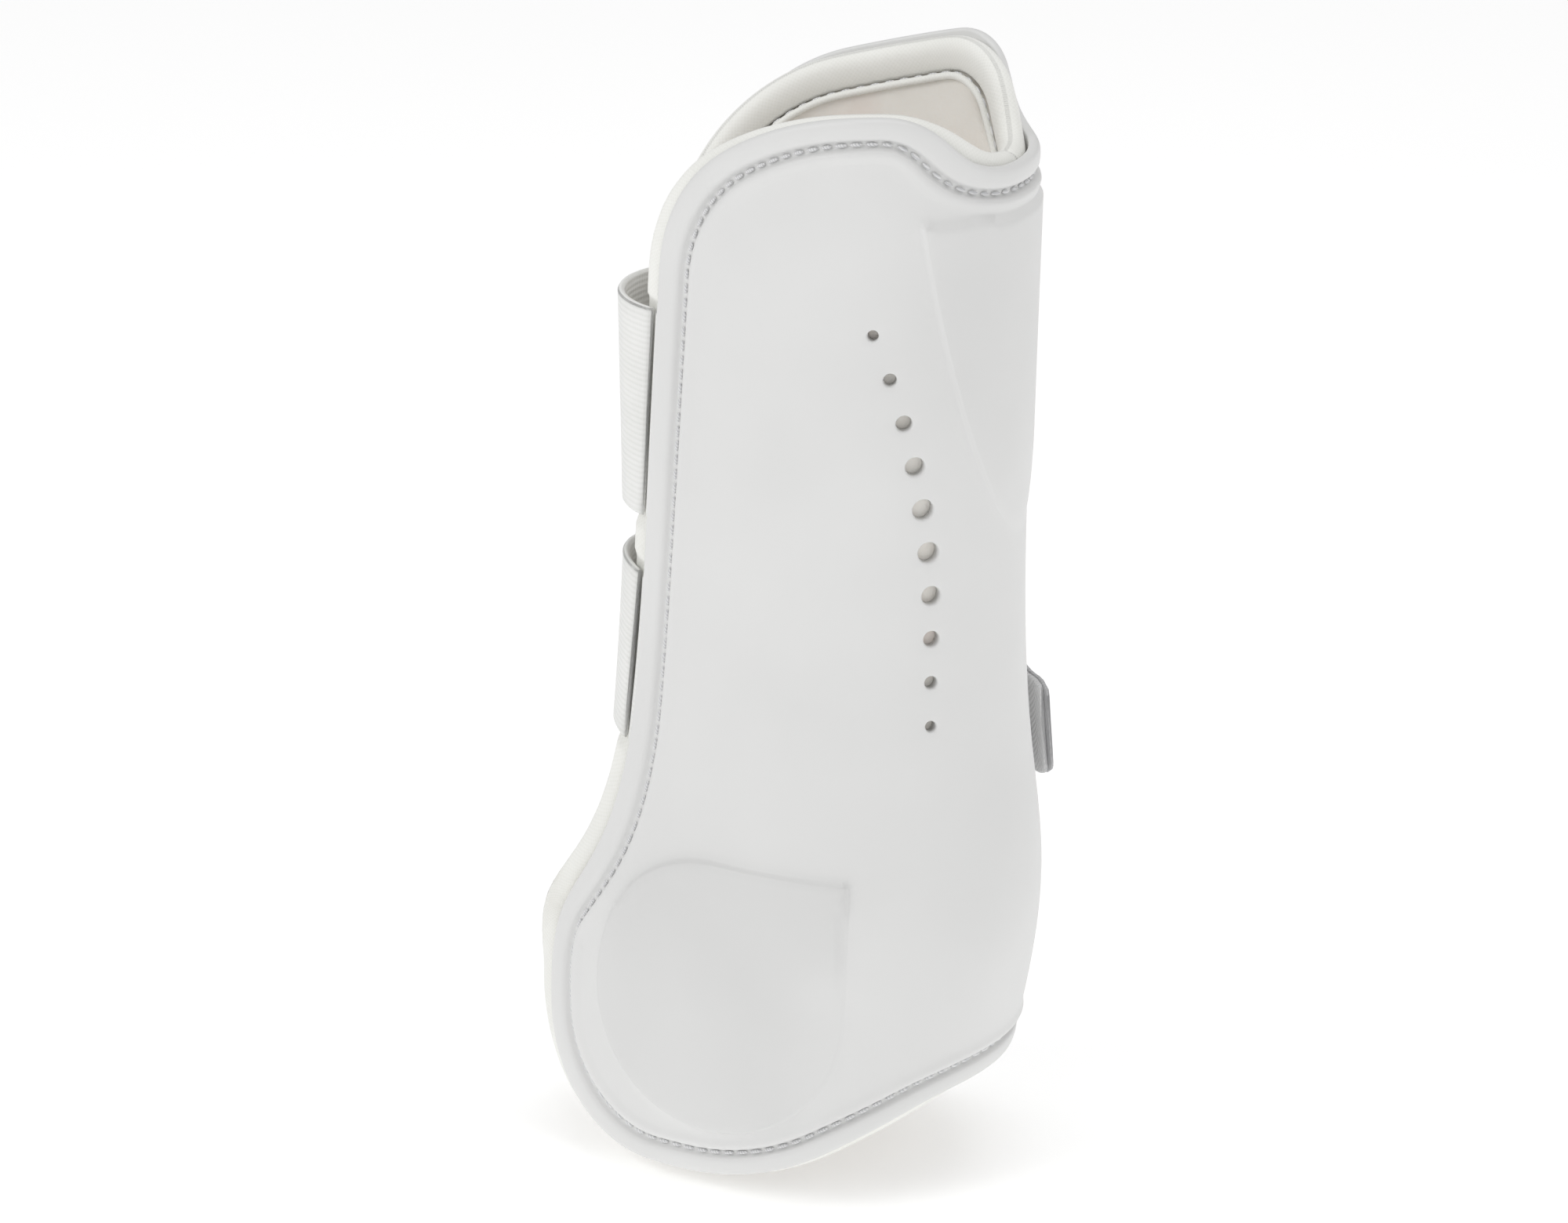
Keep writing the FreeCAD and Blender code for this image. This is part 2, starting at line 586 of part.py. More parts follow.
class Strap:
    """One elastic strap: sewn-in end, elastic, seam patch, hook pad, tab and its loop pad on the shell."""

    def __init__(self, name):
        self.name = name
        self.width = val(name + "_strap_width")
        self.middle_z = val(name + "_strap_z")
        self.slope = val(name + "_strap_slope")
        self.end = ("back", val(name + "_end_angle"), val(name + "_end_length"))
        fall = self.slope * 95.0
        self.low_z = self.middle_z - self.width / 2 - fall - 2
        self.high_z = self.middle_z + self.width / 2 + 3
        bottom = self.hinge_point(self.middle_z - self.width / 2)
        top = self.hinge_point(self.middle_z + self.width / 2)
        self.axis = (top - bottom).normalize()
        self.foot = bottom
        levels = [self.low_z + (self.high_z - self.low_z) * share for share in (0.0, 0.25, 0.5, 0.75, 1.0)]
        self.tracks = [Track(z, self.hinge_at(z)) for z in levels]
        self.middle_track = self.tracks[2]

    def near_wall(self, x, z, offset):
        """Point on the inside wall's plan arc."""
        centre_x, half = section_at(z)
        radius = val("side_radius")
        y = radius - half - math.sqrt((radius + offset) ** 2 - (x - centre_x) ** 2)
        return FreeCAD.Vector(x, y, z)

    def hinge_point(self, z):
        """Hinge line at one height: just ahead of the inside panel's front edge."""
        offset = -val("shell_wall") - val("layer_gap") - val("elastic_thick") / 2
        x = front_edge(z)
        for repeat in range(6):
            point = self.near_wall(x, z, offset)
            x = front_edge(z) - val("outside_lead") * point.y - val("hinge_ahead")
        return self.near_wall(x, z, offset)

    def hinge_at(self, z):
        return self.foot + self.axis * ((z - self.foot.z) / self.axis.z)

    def drop_at(self, x):
        return self.slope * (x - val("strap_front"))

    def window(self, suffix, margin, tapered):
        """Side view shape of the strap, narrowing to its end when tapered."""
        half = self.width / 2 + margin
        end_half = val("end_height") / 2 + margin if tapered else half
        far_x = self.middle_track.on_back(self.end[1], self.middle_track.middle).x
        far_x += self.end[2] * math.sin(math.radians(self.end[1]))
        taper_x = far_x - val("taper_length") if tapered else far_x
        points = []
        for x, rise in ((-60.0, half), (taper_x, half), (far_x + 2, end_half)):
            points.append((x, self.middle_z - self.drop_at(x) + rise))
        for x, rise in ((far_x + 2, -end_half), (taper_x, -half), (-60.0, -half)):
            points.append((x, self.middle_z - self.drop_at(x) + rise))
        return side_polygon(self.name + "_" + suffix, points)

    def loft(self, name, wires):
        """Loft through closed outlines, lowest first."""
        sections = []
        for number, wire in enumerate(wires):
            section = doc.addObject("Part::Feature", "%s_outline_%d" % (name, number + 1))
            section.Shape = wire
            sections.append(section)
        loft = doc.addObject("Part::Loft", name + "_loft")
        loft.Sections = sections
        loft.Solid = True
        loft.Ruled = False
        return loft

    def strip(self, piece, inner, outer, start_x, end, window):
        """Strip of the strap between two offsets, cut to the strap's side view."""
        name = self.name + "_" + piece
        wires = [track.band(inner, outer, start_x, end) for track in self.tracks]
        return common(name, self.loft(name, wires), window)

    def tail(self, piece, inner, outer, ahead, behind, window):
        """Strip under the inside panel, from ahead of the hinge line to behind it."""
        name = self.name + "_" + piece
        wires = []
        for track in self.tracks:
            ends = []
            for offset in (inner, outer):
                xs = (track.hinge.x - ahead, track.hinge.x + behind / 2, track.hinge.x + behind)
                ends.append(Part.Arc(*[self.near_wall(x, track.z, offset) for x in xs]).toShape())
            caps = [Part.makeLine(ends[0].Vertexes[number].Point, ends[1].Vertexes[number].Point)
                    for number in (0, 1)]
            wires.append(Part.Wire(Part.__sortEdges__(ends + caps)))
        return common(name, self.loft(name, wires), window)

    def build(self):
        gap = val("layer_gap")
        pad = gap + val("loop_pad_thick")
        low = pad + val("strap_gap")
        high = low + val("elastic_thick")
        flat = self.window("window", 0.0, False)
        pointed = self.window("end_window", 0.0, True)
        pad_area = self.window("pad_window", val("loop_pad_margin"), True)
        pocket_area = self.window("pocket_window", val("pocket_gap"), False)
        wall = -val("shell_wall")
        tail_low = wall - gap - val("elastic_thick")
        pocket_low = tail_low - val("pocket_gap")
        length = val("anchor_length")
        peel = self.strip_end_start()
        self.anchor = self.tail("anchor", tail_low, wall - gap, -val("anchor_gap"), length, flat)
        self.pocket = self.tail("pocket", pocket_low, 4.0, 7.0, length + val("pocket_gap"), pocket_area)
        self.elastic = self.strip("elastic", low, high, None, ("side", val("elastic_end_x")), flat)
        patch_end = val("elastic_end_x") - 2.5
        self.patch = self.strip("seam_patch", high + gap, high + gap + val("tab_thick"),
                                patch_end - val("seam_patch_length"), ("side", patch_end), flat)
        self.hook = self.strip("hook_pad", low, high, peel, self.end, pointed)
        self.tab = self.strip("tab", high + gap, high + gap + val("tab_thick"), peel, self.end, pointed)
        pad_end = ("back", self.end[1] - 4.0, 0.0)
        self.loop_pad = self.strip("loop_pad", gap + self.pad_lift(), pad + self.pad_lift() - gap,
                                   val("loop_pad_front_x"), pad_end, pad_area)
        peel_foot, peel_point, peel_top = [track.on_side(track.side_angle(val("peel_x")), high + val("peel_lift"))
                                           for track in self.tracks[1:4]]
        peel_axis = (peel_top - peel_foot).normalize()
        print("JOINT", self.name, "swing", tuple(round(v, 3) for v in self.foot),
              tuple(round(v, 5) for v in self.axis))
        print("JOINT", self.name, "peel", tuple(round(v, 3) for v in peel_point),
              tuple(round(v, 5) for v in peel_axis))

    def strip_end_start(self):
        return val("peel_x") + 1.0

    def pad_lift(self):
        return 0.0


upper = Strap("upper")
lower = Strap("lower")
upper.build()
lower.build()
pockets = doc.addObject("Part::Compound", "pockets")
pockets.Links = [upper.pocket, lower.pocket]
front_slot = doc.addObject("Part::Box", "front_slot")
front_slot.Length = 100
front_slot.setExpression("Width", ref("front_gap"))
front_slot.setExpression("Height", ref("shell_height + 60"))
front_slot.Placement.Base = FreeCAD.Vector(-100, -val("front_gap") / 2, -30)
front_slot.setExpression("Placement.Base.y", ref("- front_gap / 2"))
foam_open = cut("foam_open", foam_whole, front_slot)
foam = cut("foam", foam_open, pockets)
roll_open = cut("roll_open", roll_whole, front_slot)
rolled_edge = cut("rolled_edge", roll_open, pockets)
doc.recompute()

NODES = {
    "shell": shell,
    "rim_stitching": rim_stitching,
    "foam_liner": foam,
    "lining": lining,
    "rolled_edge": rolled_edge,
    "piping": piping,
}
for strap in (upper, lower):
    NODES[strap.name + "_anchor"] = strap.anchor
    NODES[strap.name + "_elastic"] = strap.elastic
    NODES[strap.name + "_seam_patch"] = strap.patch
    NODES[strap.name + "_hook_pad"] = strap.hook
    NODES[strap.name + "_tab"] = strap.tab
    NODES[strap.name + "_loop_pad"] = strap.loop_pad

for item in doc.Objects:
    if "Invalid" in item.State or "Error" in item.State:
        raise RuntimeError("%s did not build: %s" % (item.Name, item.State))
for name, item in NODES.items():
    item.Label = name
    if item.Shape.isNull() or not item.Shape.isValid() or not item.Shape.Solids:
        raise RuntimeError("%s has no sound solid" % name)
    print("NODE", name, "solids", len(item.Shape.Solids), "volume", round(item.Shape.Volume, 1),
          "box", [round(v, 1) for v in (item.Shape.BoundBox.XMin, item.Shape.BoundBox.XMax,
                                         item.Shape.BoundBox.YMin, item.Shape.BoundBox.YMax,
                                         item.Shape.BoundBox.ZMin, item.Shape.BoundBox.ZMax)])
    item.Shape.exportStep("parts/%s.step" % name)
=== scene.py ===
"""Horse tendon boot: moulded shell, padded liner and two elastic straps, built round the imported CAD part.

Sizes are in millimetres until a mesh is made, and +X is the back of the leg, +Y its outside and +Z up.
"""

from __future__ import annotations

import json
import logging
import math
from dataclasses import dataclass, field, replace
from enum import Enum
from functools import cached_property, partial
from typing import Callable, Iterable, Sequence

import bmesh
import bpy
import numpy as np
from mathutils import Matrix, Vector
from mathutils.geometry import delaunay_2d_cdt
from mathutils.kdtree import KDTree

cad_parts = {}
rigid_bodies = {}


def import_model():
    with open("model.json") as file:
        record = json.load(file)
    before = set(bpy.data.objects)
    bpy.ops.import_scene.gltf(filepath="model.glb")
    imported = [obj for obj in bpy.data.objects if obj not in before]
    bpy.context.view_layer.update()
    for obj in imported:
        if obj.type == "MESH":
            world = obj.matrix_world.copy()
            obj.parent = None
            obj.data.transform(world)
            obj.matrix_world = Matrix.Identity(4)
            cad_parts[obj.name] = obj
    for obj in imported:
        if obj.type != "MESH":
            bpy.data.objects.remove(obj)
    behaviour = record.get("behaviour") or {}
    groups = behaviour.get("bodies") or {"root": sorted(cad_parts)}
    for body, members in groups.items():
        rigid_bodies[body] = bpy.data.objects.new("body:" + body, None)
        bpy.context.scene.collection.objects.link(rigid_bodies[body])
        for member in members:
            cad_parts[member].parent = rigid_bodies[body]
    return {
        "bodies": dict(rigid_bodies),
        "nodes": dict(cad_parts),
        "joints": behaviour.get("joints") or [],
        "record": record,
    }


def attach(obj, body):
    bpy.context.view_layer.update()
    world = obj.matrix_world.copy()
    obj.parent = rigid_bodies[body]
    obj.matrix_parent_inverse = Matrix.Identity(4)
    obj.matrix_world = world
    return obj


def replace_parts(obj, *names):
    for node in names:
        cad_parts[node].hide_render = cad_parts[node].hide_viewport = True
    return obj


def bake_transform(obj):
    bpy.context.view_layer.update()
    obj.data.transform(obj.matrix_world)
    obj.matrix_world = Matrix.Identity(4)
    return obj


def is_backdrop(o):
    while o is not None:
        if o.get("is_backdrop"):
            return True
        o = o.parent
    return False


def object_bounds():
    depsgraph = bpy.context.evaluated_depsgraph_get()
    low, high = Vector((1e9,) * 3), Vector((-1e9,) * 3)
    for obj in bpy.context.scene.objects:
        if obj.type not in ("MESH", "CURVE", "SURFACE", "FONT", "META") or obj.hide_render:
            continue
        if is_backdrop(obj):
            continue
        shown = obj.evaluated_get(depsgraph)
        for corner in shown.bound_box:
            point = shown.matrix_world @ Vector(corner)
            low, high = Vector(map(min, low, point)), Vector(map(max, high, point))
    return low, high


MM = 0.001
# A wave texture goes through this many radians over each unit of its scale.
WAVE_RADIANS = 20.0
LOG = logging.getLogger("tendon_boot")


# ---------------------------------------------------------------------------- finishes


class Weave(Enum):
    """How a textile's surface is made."""

    KNIT = "knit"
    RIBBED = "ribbed"
    TWILL = "twill"
    BRUSHED = "brushed"
    PILE = "pile"


def linear(hex_colour: str) -> tuple[float, float, float, float]:
    """Turn an sRGB hex colour into the linear colour that shaders take.

    Args:
        hex_colour: Six hex digits.

    Returns:
        Linear red, green, blue and an alpha of one.
    """
    parts = [int(hex_colour[i : i + 2], 16) / 255 for i in (0, 2, 4)]
    out = [c / 12.92 if c <= 0.04045 else ((c + 0.055) / 1.055) ** 2.4 for c in parts]
    return (out[0], out[1], out[2], 1.0)


def band_scale(pitch_mm: float) -> float:
    """Scale at which a wave texture's bands lie a pitch apart."""
    return 1000 * math.tau / pitch_mm / WAVE_RADIANS


def add_node(
    tree: bpy.types.NodeTree, kind: str, links: dict | None = None, **settings: object
) -> bpy.types.Node:
    """Add one node with its settings and links.

    Args:
        tree: The tree to add it to.
        kind: The node's type name.
        links: Input name or index to a value, or to the socket that feeds it.
        settings: Properties of the node itself.

    Returns:
        The node.
    """
    node = tree.nodes.new(kind)
    for name, value in settings.items():
        setattr(node, name, value)
    for key, value in (links or {}).items():
        if isinstance(value, bpy.types.NodeSocket):
            tree.links.new(value, node.inputs[key])
        else:
            node.inputs[key].default_value = value
    return node


@dataclass(frozen=True)
class Finish:
    """What every finish has: a name, two tones of one colour and a gloss."""

    name: str
    colour: str
    shade: str
    roughness: float = 0.6
    sheen: float = 0.0

    def material(self) -> bpy.types.Material:
        """Make the material, with its pattern from the finish's own method."""
        made = bpy.data.materials.new(self.name)
        made.use_nodes = True
        tree = made.node_tree
        tree.nodes.clear()
        shader = add_node(tree, "ShaderNodeBsdfPrincipled", {"Roughness": self.roughness})
        if self.sheen:
            shader.inputs["Sheen Weight"].default_value = self.sheen
            shader.inputs["Sheen Roughness"].default_value = 0.45
        out = add_node(tree, "ShaderNodeOutputMaterial", {"Surface": shader.outputs["BSDF"]})
        out.is_active_output = True
        self.pattern(tree, shader)
        return made

    def pattern(self, tree: bpy.types.NodeTree, shader: bpy.types.Node) -> None:
        """Give the shader its colour and relief.

        Args:
            tree: The material's tree.
            shader: The shader that takes them.
        """
        raise NotImplementedError

    def tones(self, tree: bpy.types.NodeTree, factor: bpy.types.NodeSocket) -> bpy.types.NodeSocket:
        """Mix the two tones.

        Args:
            tree: The material's tree.
            factor: Share of the second tone.

        Returns:
            The colour.
        """
        mix = add_node(
            tree,
            "ShaderNodeMix",
            {0: factor, 6: linear(self.colour), 7: linear(self.shade)},
            data_type="RGBA",
        )
        return mix.outputs[2]


@dataclass(frozen=True)
class MouldedPlastic(Finish):
    """Injection moulded thermoplastic polyurethane: satin white, with the mould's fine spark texture."""

    grain_mm: float = 0.5
    grain_depth: float = 0.10
    cloud_mm: float = 34.0

    def pattern(self, tree: bpy.types.NodeTree, shader: bpy.types.Node) -> None:
        """Fine grain as relief, broad soft unevenness as tone, and painted shade: a darker tone on the raised
        panels.

        Args:
            tree: The material's tree.
            shader: The shader that takes them.
        """
        place = add_node(tree, "ShaderNodeTexCoord").outputs["Object"]
        cloud = add_node(
            tree,
            "ShaderNodeTexNoise",
            {"Vector": place, "Scale": 1000 / self.cloud_mm, "Detail": 2.0, "Roughness": 0.4},
        )
        # Painted shade: the raised petal and tendon guard are mixed towards the darker tone, for the shade on
        # them.
        panel = add_node(tree, "ShaderNodeAttribute", attribute_name="raised")
        soft = add_node(
            tree, "ShaderNodeMapRange", {"Value": cloud.outputs["Fac"], "From Min": 0.35, "From Max": 0.7}
        )
        part = add_node(tree, "ShaderNodeMath", {0: soft.outputs[0], 1: 0.35}, operation="MULTIPLY")
        both = add_node(
            tree,
            "ShaderNodeMath",
            {0: panel.outputs["Fac"], 1: part.outputs[0]},
            operation="ADD",
            use_clamp=True,
        )
        tree.links.new(self.tones(tree, both.outputs[0]), shader.inputs["Base Color"])
        gloss = add_node(
            tree,
            "ShaderNodeMapRange",
            {
                "Value": cloud.outputs["Fac"],
                "To Min": self.roughness - 0.05,
                "To Max": self.roughness + 0.07,
            },
        )
        tree.links.new(gloss.outputs[0], shader.inputs["Roughness"])
        grain = add_node(
            tree,
            "ShaderNodeTexNoise",
            {"Vector": place, "Scale": 1000 / self.grain_mm, "Detail": 3.0, "Roughness": 0.6},
        )
        bump = add_node(
            tree,
            "ShaderNodeBump",
            {"Height": grain.outputs["Fac"], "Strength": self.grain_depth, "Distance": 0.05 * MM},
        )
        tree.links.new(bump.outputs["Normal"], shader.inputs["Normal"])


@dataclass(frozen=True)
class Textile(Finish):
    """A woven, knitted or brushed cloth whose pattern follows the piece's own flat map, in metres."""

    weave: Weave = Weave.KNIT
    pitch_mm: float = 1.0
    depth_mm: float = 0.12
    blush: str = ""

    def pattern(self, tree: bpy.types.NodeTree, shader: bpy.types.Node) -> None:
        """Threads as relief, painted shade in the valleys between them as tone, and slow unevenness from
        handling.

        Args:
            tree: The material's tree.
            shader: The shader that takes them.
        """
        flat = add_node(tree, "ShaderNodeUVMap", uv_map="cloth").outputs["UV"]
        place = add_node(tree, "ShaderNodeTexCoord").outputs["Object"]
        relief = self.threads(tree, flat, place)
        slow = add_node(
            tree,
            "ShaderNodeTexNoise",
            {"Vector": place, "Scale": 1000 / 22.0, "Detail": 3.0, "Roughness": 0.55},
        )
        # Painted shade: where the threads' relief is low, the colour goes towards the darker tone.
        valley_shade = add_node(
            tree,
            "ShaderNodeMapRange",
            {"Value": relief, "From Min": 0.0, "From Max": 0.7, "To Min": 0.55, "To Max": 0.0},
        )
        patch = add_node(
            tree,
            "ShaderNodeMapRange",
            {"Value": slow.outputs["Fac"], "From Min": 0.42, "From Max": 0.72, "To Min": 0.0, "To Max": 0.4},
        )
        mixed = add_node(
            tree,
            "ShaderNodeMath",
            {0: valley_shade.outputs[0], 1: patch.outputs[0]},
            operation="ADD",
            use_clamp=True,
        )
        colour = self.tones(tree, mixed.outputs[0])
        if self.blush:
            where = add_node(
                tree,
                "ShaderNodeTexNoise",
                {"Vector": place, "Scale": 1000 / 38.0, "Detail": 1.5, "Roughness": 0.5, "Distortion": 0.4},
            )
            share = add_node(
                tree,
                "ShaderNodeMapRange",
                {
                    "Value": where.outputs["Fac"],
                    "From Min": 0.5,
                    "From Max": 0.72,
                    "To Min": 0.0,
                    "To Max": 0.55,
                },
            )
            tint = add_node(
                tree,
                "ShaderNodeMix",
                {0: share.outputs[0], 6: colour, 7: linear(self.blush)},
                data_type="RGBA",
            )
            colour = tint.outputs[2]
        tree.links.new(colour, shader.inputs["Base Color"])
        bump = add_node(
            tree,
            "ShaderNodeBump",
            {"Height": relief, "Strength": 0.8, "Distance": self.depth_mm * MM},
        )
        tree.links.new(bump.outputs["Normal"], shader.inputs["Normal"])

    def wave(
        self, tree: bpy.types.NodeTree, flat: bpy.types.NodeSocket, turn: float, pitch_mm: float
    ) -> bpy.types.NodeSocket:
        """One set of parallel threads.

        Args:
            tree: The material's tree.
            flat: The flat map.
            turn: The threads' angle in degrees.
            pitch_mm: Thread spacing.

        Returns:
            Height from 0 to 1.
        """
        turned = add_node(
            tree, "ShaderNodeMapping", {"Vector": flat, "Rotation": (0.0, 0.0, math.radians(turn))}
        )
        wave = add_node(
            tree,
            "ShaderNodeTexWave",
            {"Vector": turned.outputs["Vector"], "Scale": band_scale(pitch_mm), "Distortion": 0.0},
            wave_type="BANDS",
            bands_direction="X",
            wave_profile="SIN",
        )
        return wave.outputs["Fac"]

    def threads(
        self, tree: bpy.types.NodeTree, flat: bpy.types.NodeSocket, place: bpy.types.NodeSocket
    ) -> bpy.types.NodeSocket:
        """Height of the cloth's surface.

        Args:
            tree: The material's tree.
            flat: The flat map.
            place: Place in space.

        Returns:
            Height from 0 to 1.
        """
        hair = 1000 / max(0.25, 0.4 * self.pitch_mm)
        fuzz = add_node(
            tree,
            "ShaderNodeTexNoise",
            {"Vector": place, "Scale": hair, "Detail": 4.0, "Roughness": 0.7},
        )
        if self.weave in (Weave.BRUSHED, Weave.PILE):
            cell = add_node(
                tree,
                "ShaderNodeTexVoronoi",
                {"Vector": place, "Scale": 1000 / self.pitch_mm, "Randomness": 1.0},
                feature="SMOOTH_F1" if self.weave is Weave.BRUSHED else "F1",
            )
            mix = add_node(
                tree,
                "ShaderNodeMix",
                {0: 0.5, 2: cell.outputs["Distance"], 3: fuzz.outputs["Fac"]},
                data_type="FLOAT",
            )
            return mix.outputs[0]
        turns = {
            Weave.KNIT: (45.0, -45.0),
            Weave.RIBBED: (90.0, 0.0),
            Weave.TWILL: (38.0, -52.0),
        }[self.weave]
        pitches = {
            Weave.KNIT: (self.pitch_mm, self.pitch_mm),
            Weave.RIBBED: (self.pitch_mm, self.pitch_mm * 0.45),
            Weave.TWILL: (self.pitch_mm, self.pitch_mm * 0.5),
        }[self.weave]
        first = self.wave(tree, flat, turns[0], pitches[0])
        second = self.wave(tree, flat, turns[1], pitches[1])
        weight = 0.5 if self.weave is Weave.KNIT else 0.25
        crossed = add_node(tree, "ShaderNodeMix", {0: weight, 2: first, 3: second}, data_type="FLOAT")
        mix = add_node(
            tree,
            "ShaderNodeMix",
            {0: 0.18, 2: crossed.outputs[0], 3: fuzz.outputs["Fac"]},
            data_type="FLOAT",
        )
        return mix.outputs[0]


@dataclass(frozen=True)
class Thread(Finish):
    """Bonded polyester sewing thread, whose twist shows as slanted bands."""

    twist_mm: float = 0.55

    def pattern(self, tree: bpy.types.NodeTree, shader: bpy.types.Node) -> None:
        """Slanted bands of tone and relief.

        Args:
            tree: The material's tree.
            shader: The shader that takes them.
        """
        place = add_node(tree, "ShaderNodeTexCoord").outputs["Object"]
        turned = add_node(tree, "ShaderNodeMapping", {"Vector": place, "Rotation": (0.4, 0.6, 0.5)})
        band = add_node(
            tree,
            "ShaderNodeTexWave",
            {"Vector": turned.outputs["Vector"], "Scale": band_scale(self.twist_mm), "Distortion": 1.0},
        )
        tree.links.new(self.tones(tree, band.outputs["Fac"]), shader.inputs["Base Color"])
        bump = add_node(
            tree, "ShaderNodeBump", {"Height": band.outputs["Fac"], "Strength": 0.5, "Distance": 0.08 * MM}
        )
        tree.links.new(bump.outputs["Normal"], shader.inputs["Normal"])


@dataclass(frozen=True)
class PaperFloor(Finish):
    """Matt studio paper, which glows a little so that it stays white under a soft light."""

    glow: float = 0.30

    def pattern(self, tree: bpy.types.NodeTree, shader: bpy.types.Node) -> None:
        """Very slow unevenness, so that the paper isn't one flat colour.

        Args:
            tree: The material's tree.
            shader: The shader that takes them.
        """
        place = add_node(tree, "ShaderNodeTexCoord").outputs["Object"]
        cloud = add_node(tree, "ShaderNodeTexNoise", {"Vector": place, "Scale": 3.0, "Detail": 1.0})
        tree.links.new(self.tones(tree, cloud.outputs["Fac"]), shader.inputs["Base Color"])
        shader.inputs["Emission Color"].default_value = (1.0, 1.0, 1.0, 1.0)
        shader.inputs["Emission Strength"].default_value = self.glow


# Injection moulded TPU, neutral white, satin: broad soft highlights and a fine dull grain close up.
TPU = MouldedPlastic("tpu_moulded_satin_white", "e6e6e5", "dcdcdb", roughness=0.42)
# Polyester thread, white: bright, with a dark line at its sides from the groove.
SEWING_THREAD = Thread("polyester_thread_white", "eeeeee", "cfd0d2", roughness=0.5, sheen=0.1)
# Nylon-faced neoprene over foam: smooth, warm white, with a knit too fine to show, so drawn at 0.8 mm.
BINDING = Textile(
    "neoprene_nylon_faced_white",
    "f9f9f5",
    "eeeee8",
    roughness=0.62,
    sheen=0.25,
    weave=Weave.KNIT,
    pitch_mm=0.8,
    depth_mm=0.05,
)
# Brushed polyester jersey, cream with a faint pink cast: dull and soft, with short fibres.
LINING = Textile(
    "polyester_jersey_brushed_cream", "fffdf8", "fdf7ee", roughness=0.85, sheen=0.4, weave=Weave.BRUSHED,
    pitch_mm=0.7, depth_mm=0.10, blush="f6e1d8",
)
# Woven elastic, white: ribs along its length from the rubber cores.
ELASTIC = Textile(
    "woven_elastic_ribbed_white",
    "f3f3f1",
    "e2e3df",
    roughness=0.7,
    sheen=0.2,
    weave=Weave.RIBBED,
    pitch_mm=1.3,
    depth_mm=0.16,
)
# Polypropylene webbing, coarse twill with a slight gloss; its mid grey is painted shade, for the shade on the
# strap ends.
WEBBING_SHADE_GREY = Textile(
    "polypropylene_webbing_painted_shade_grey",
    "c2c2c3",
    "9b9b9d",
    roughness=0.6,
    sheen=0.15,
    weave=Weave.TWILL,
    pitch_mm=1.2,
    depth_mm=0.15,
)
# Hook tape, nylon, pale grey: woven ground with stiff hooks.
HOOK_TAPE = Textile(
    "nylon_hook_tape_pale_grey",
    "d6d6d6",
    "b6b6b7",
    roughness=0.5,
    weave=Weave.TWILL,
    pitch_mm=0.9,
    depth_mm=0.12,
)
# Loop tape, nylon, white: short dense pile.
LOOP_TAPE = Textile(
    "nylon_loop_tape_white", "e9e9e6", "cfcfcc", roughness=0.9, sheen=0.5, weave=Weave.PILE, pitch_mm=0.8,
    depth_mm=0.30,
)
PAPER = PaperFloor("studio_paper_white", "ffffff", "fdfdfd", roughness=0.9)


# ---------------------------------------------------------------------------- mesh helpers


def make_piece(
    name: str,
    points: np.ndarray,
    faces: Iterable[Sequence[int]],
    flat: np.ndarray | None = None,
    marks: dict[str, np.ndarray] | None = None,
) -> bpy.types.Object:
    """Make one smooth closed piece from points in millimetres.

    Args:
        name: The piece's name.
        points: Corner points, one row each.
        faces: Corner numbers of each face.
        flat: Flat map of each corner, in millimetres.
        marks: Numbers kept at each corner, by name.

    Returns:
        The piece's object, at the origin.
    """
    mesh = bpy.data.meshes.new(name)
    mesh.from_pydata((np.asarray(points) * MM).tolist(), [], [list(map(int, f)) for f in faces])
    for label, values in (marks or {}).items():
        kept = mesh.attributes.new(label, "FLOAT", "POINT")
        kept.data.foreach_set("value", np.asarray(values, np.float32))
    if flat is not None:
        layer = mesh.uv_layers.new(name="cloth")
        corner = np.zeros(len(mesh.loops), np.int32)
        mesh.loops.foreach_get("vertex_index", corner)
        layer.data.foreach_set("uv", (np.asarray(flat)[corner] * MM).astype(np.float32).ravel())
    sheet = bmesh.new()
    sheet.from_mesh(mesh)
    bmesh.ops.recalc_face_normals(sheet, faces=sheet.faces)
    sheet.to_mesh(mesh)
    sheet.free()
    mesh.shade_smooth()
    made = bpy.data.objects.new(name, mesh)
    bpy.context.scene.collection.objects.link(made)
    return made


def ring_faces(rings: int, around: int, closed: bool, first: int = 0) -> list[tuple[int, ...]]:
    """Faces that join rings of corners one to the next.

    Args:
        rings: How many rings there are.
        around: Corners in each ring, which always closes on itself.
        closed: Whether the last ring joins the first; if not, both ends are capped.
        first: Number of the first corner.

    Returns:
        The faces.
    """
    faces: list[tuple[int, ...]] = []
    for i in range(rings if closed else rings - 1):
        a = first + i * around
        b = first + ((i + 1) % rings) * around
        for j in range(around):
            k = (j + 1) % around
            faces.append((a + j, b + j, b + k, a + k))
    if not closed:
        faces.append(tuple(range(first, first + around)))
        last = first + (rings - 1) * around
        faces.append(tuple(range(last + around - 1, last - 1, -1)))
    return faces


def even(line: np.ndarray, step: float, closed: bool) -> np.ndarray:
    """Space the points of a line evenly.

    Args:
        line: Points, one row each.
        step: Spacing wanted.
        closed: Whether the line closes on itself.

    Returns:
        The new points, without a repeat of the first where it is closed.
    """
    run = np.vstack([line, line[:1]]) if closed else line
    gaps = np.linalg.norm(np.diff(run, axis=0), axis=1)
    run = run[np.concatenate([[True], gaps > 1e-7])]
    along = np.concatenate([[0.0], np.cumsum(np.linalg.norm(np.diff(run, axis=0), axis=1))])
    count = max(3, int(round(along[-1] / step)))
    at = np.linspace(0.0, along[-1], count + 1)
    new = np.stack([np.interp(at, along, run[:, k]) for k in range(run.shape[1])], axis=1)
    return new[:-1] if closed else new


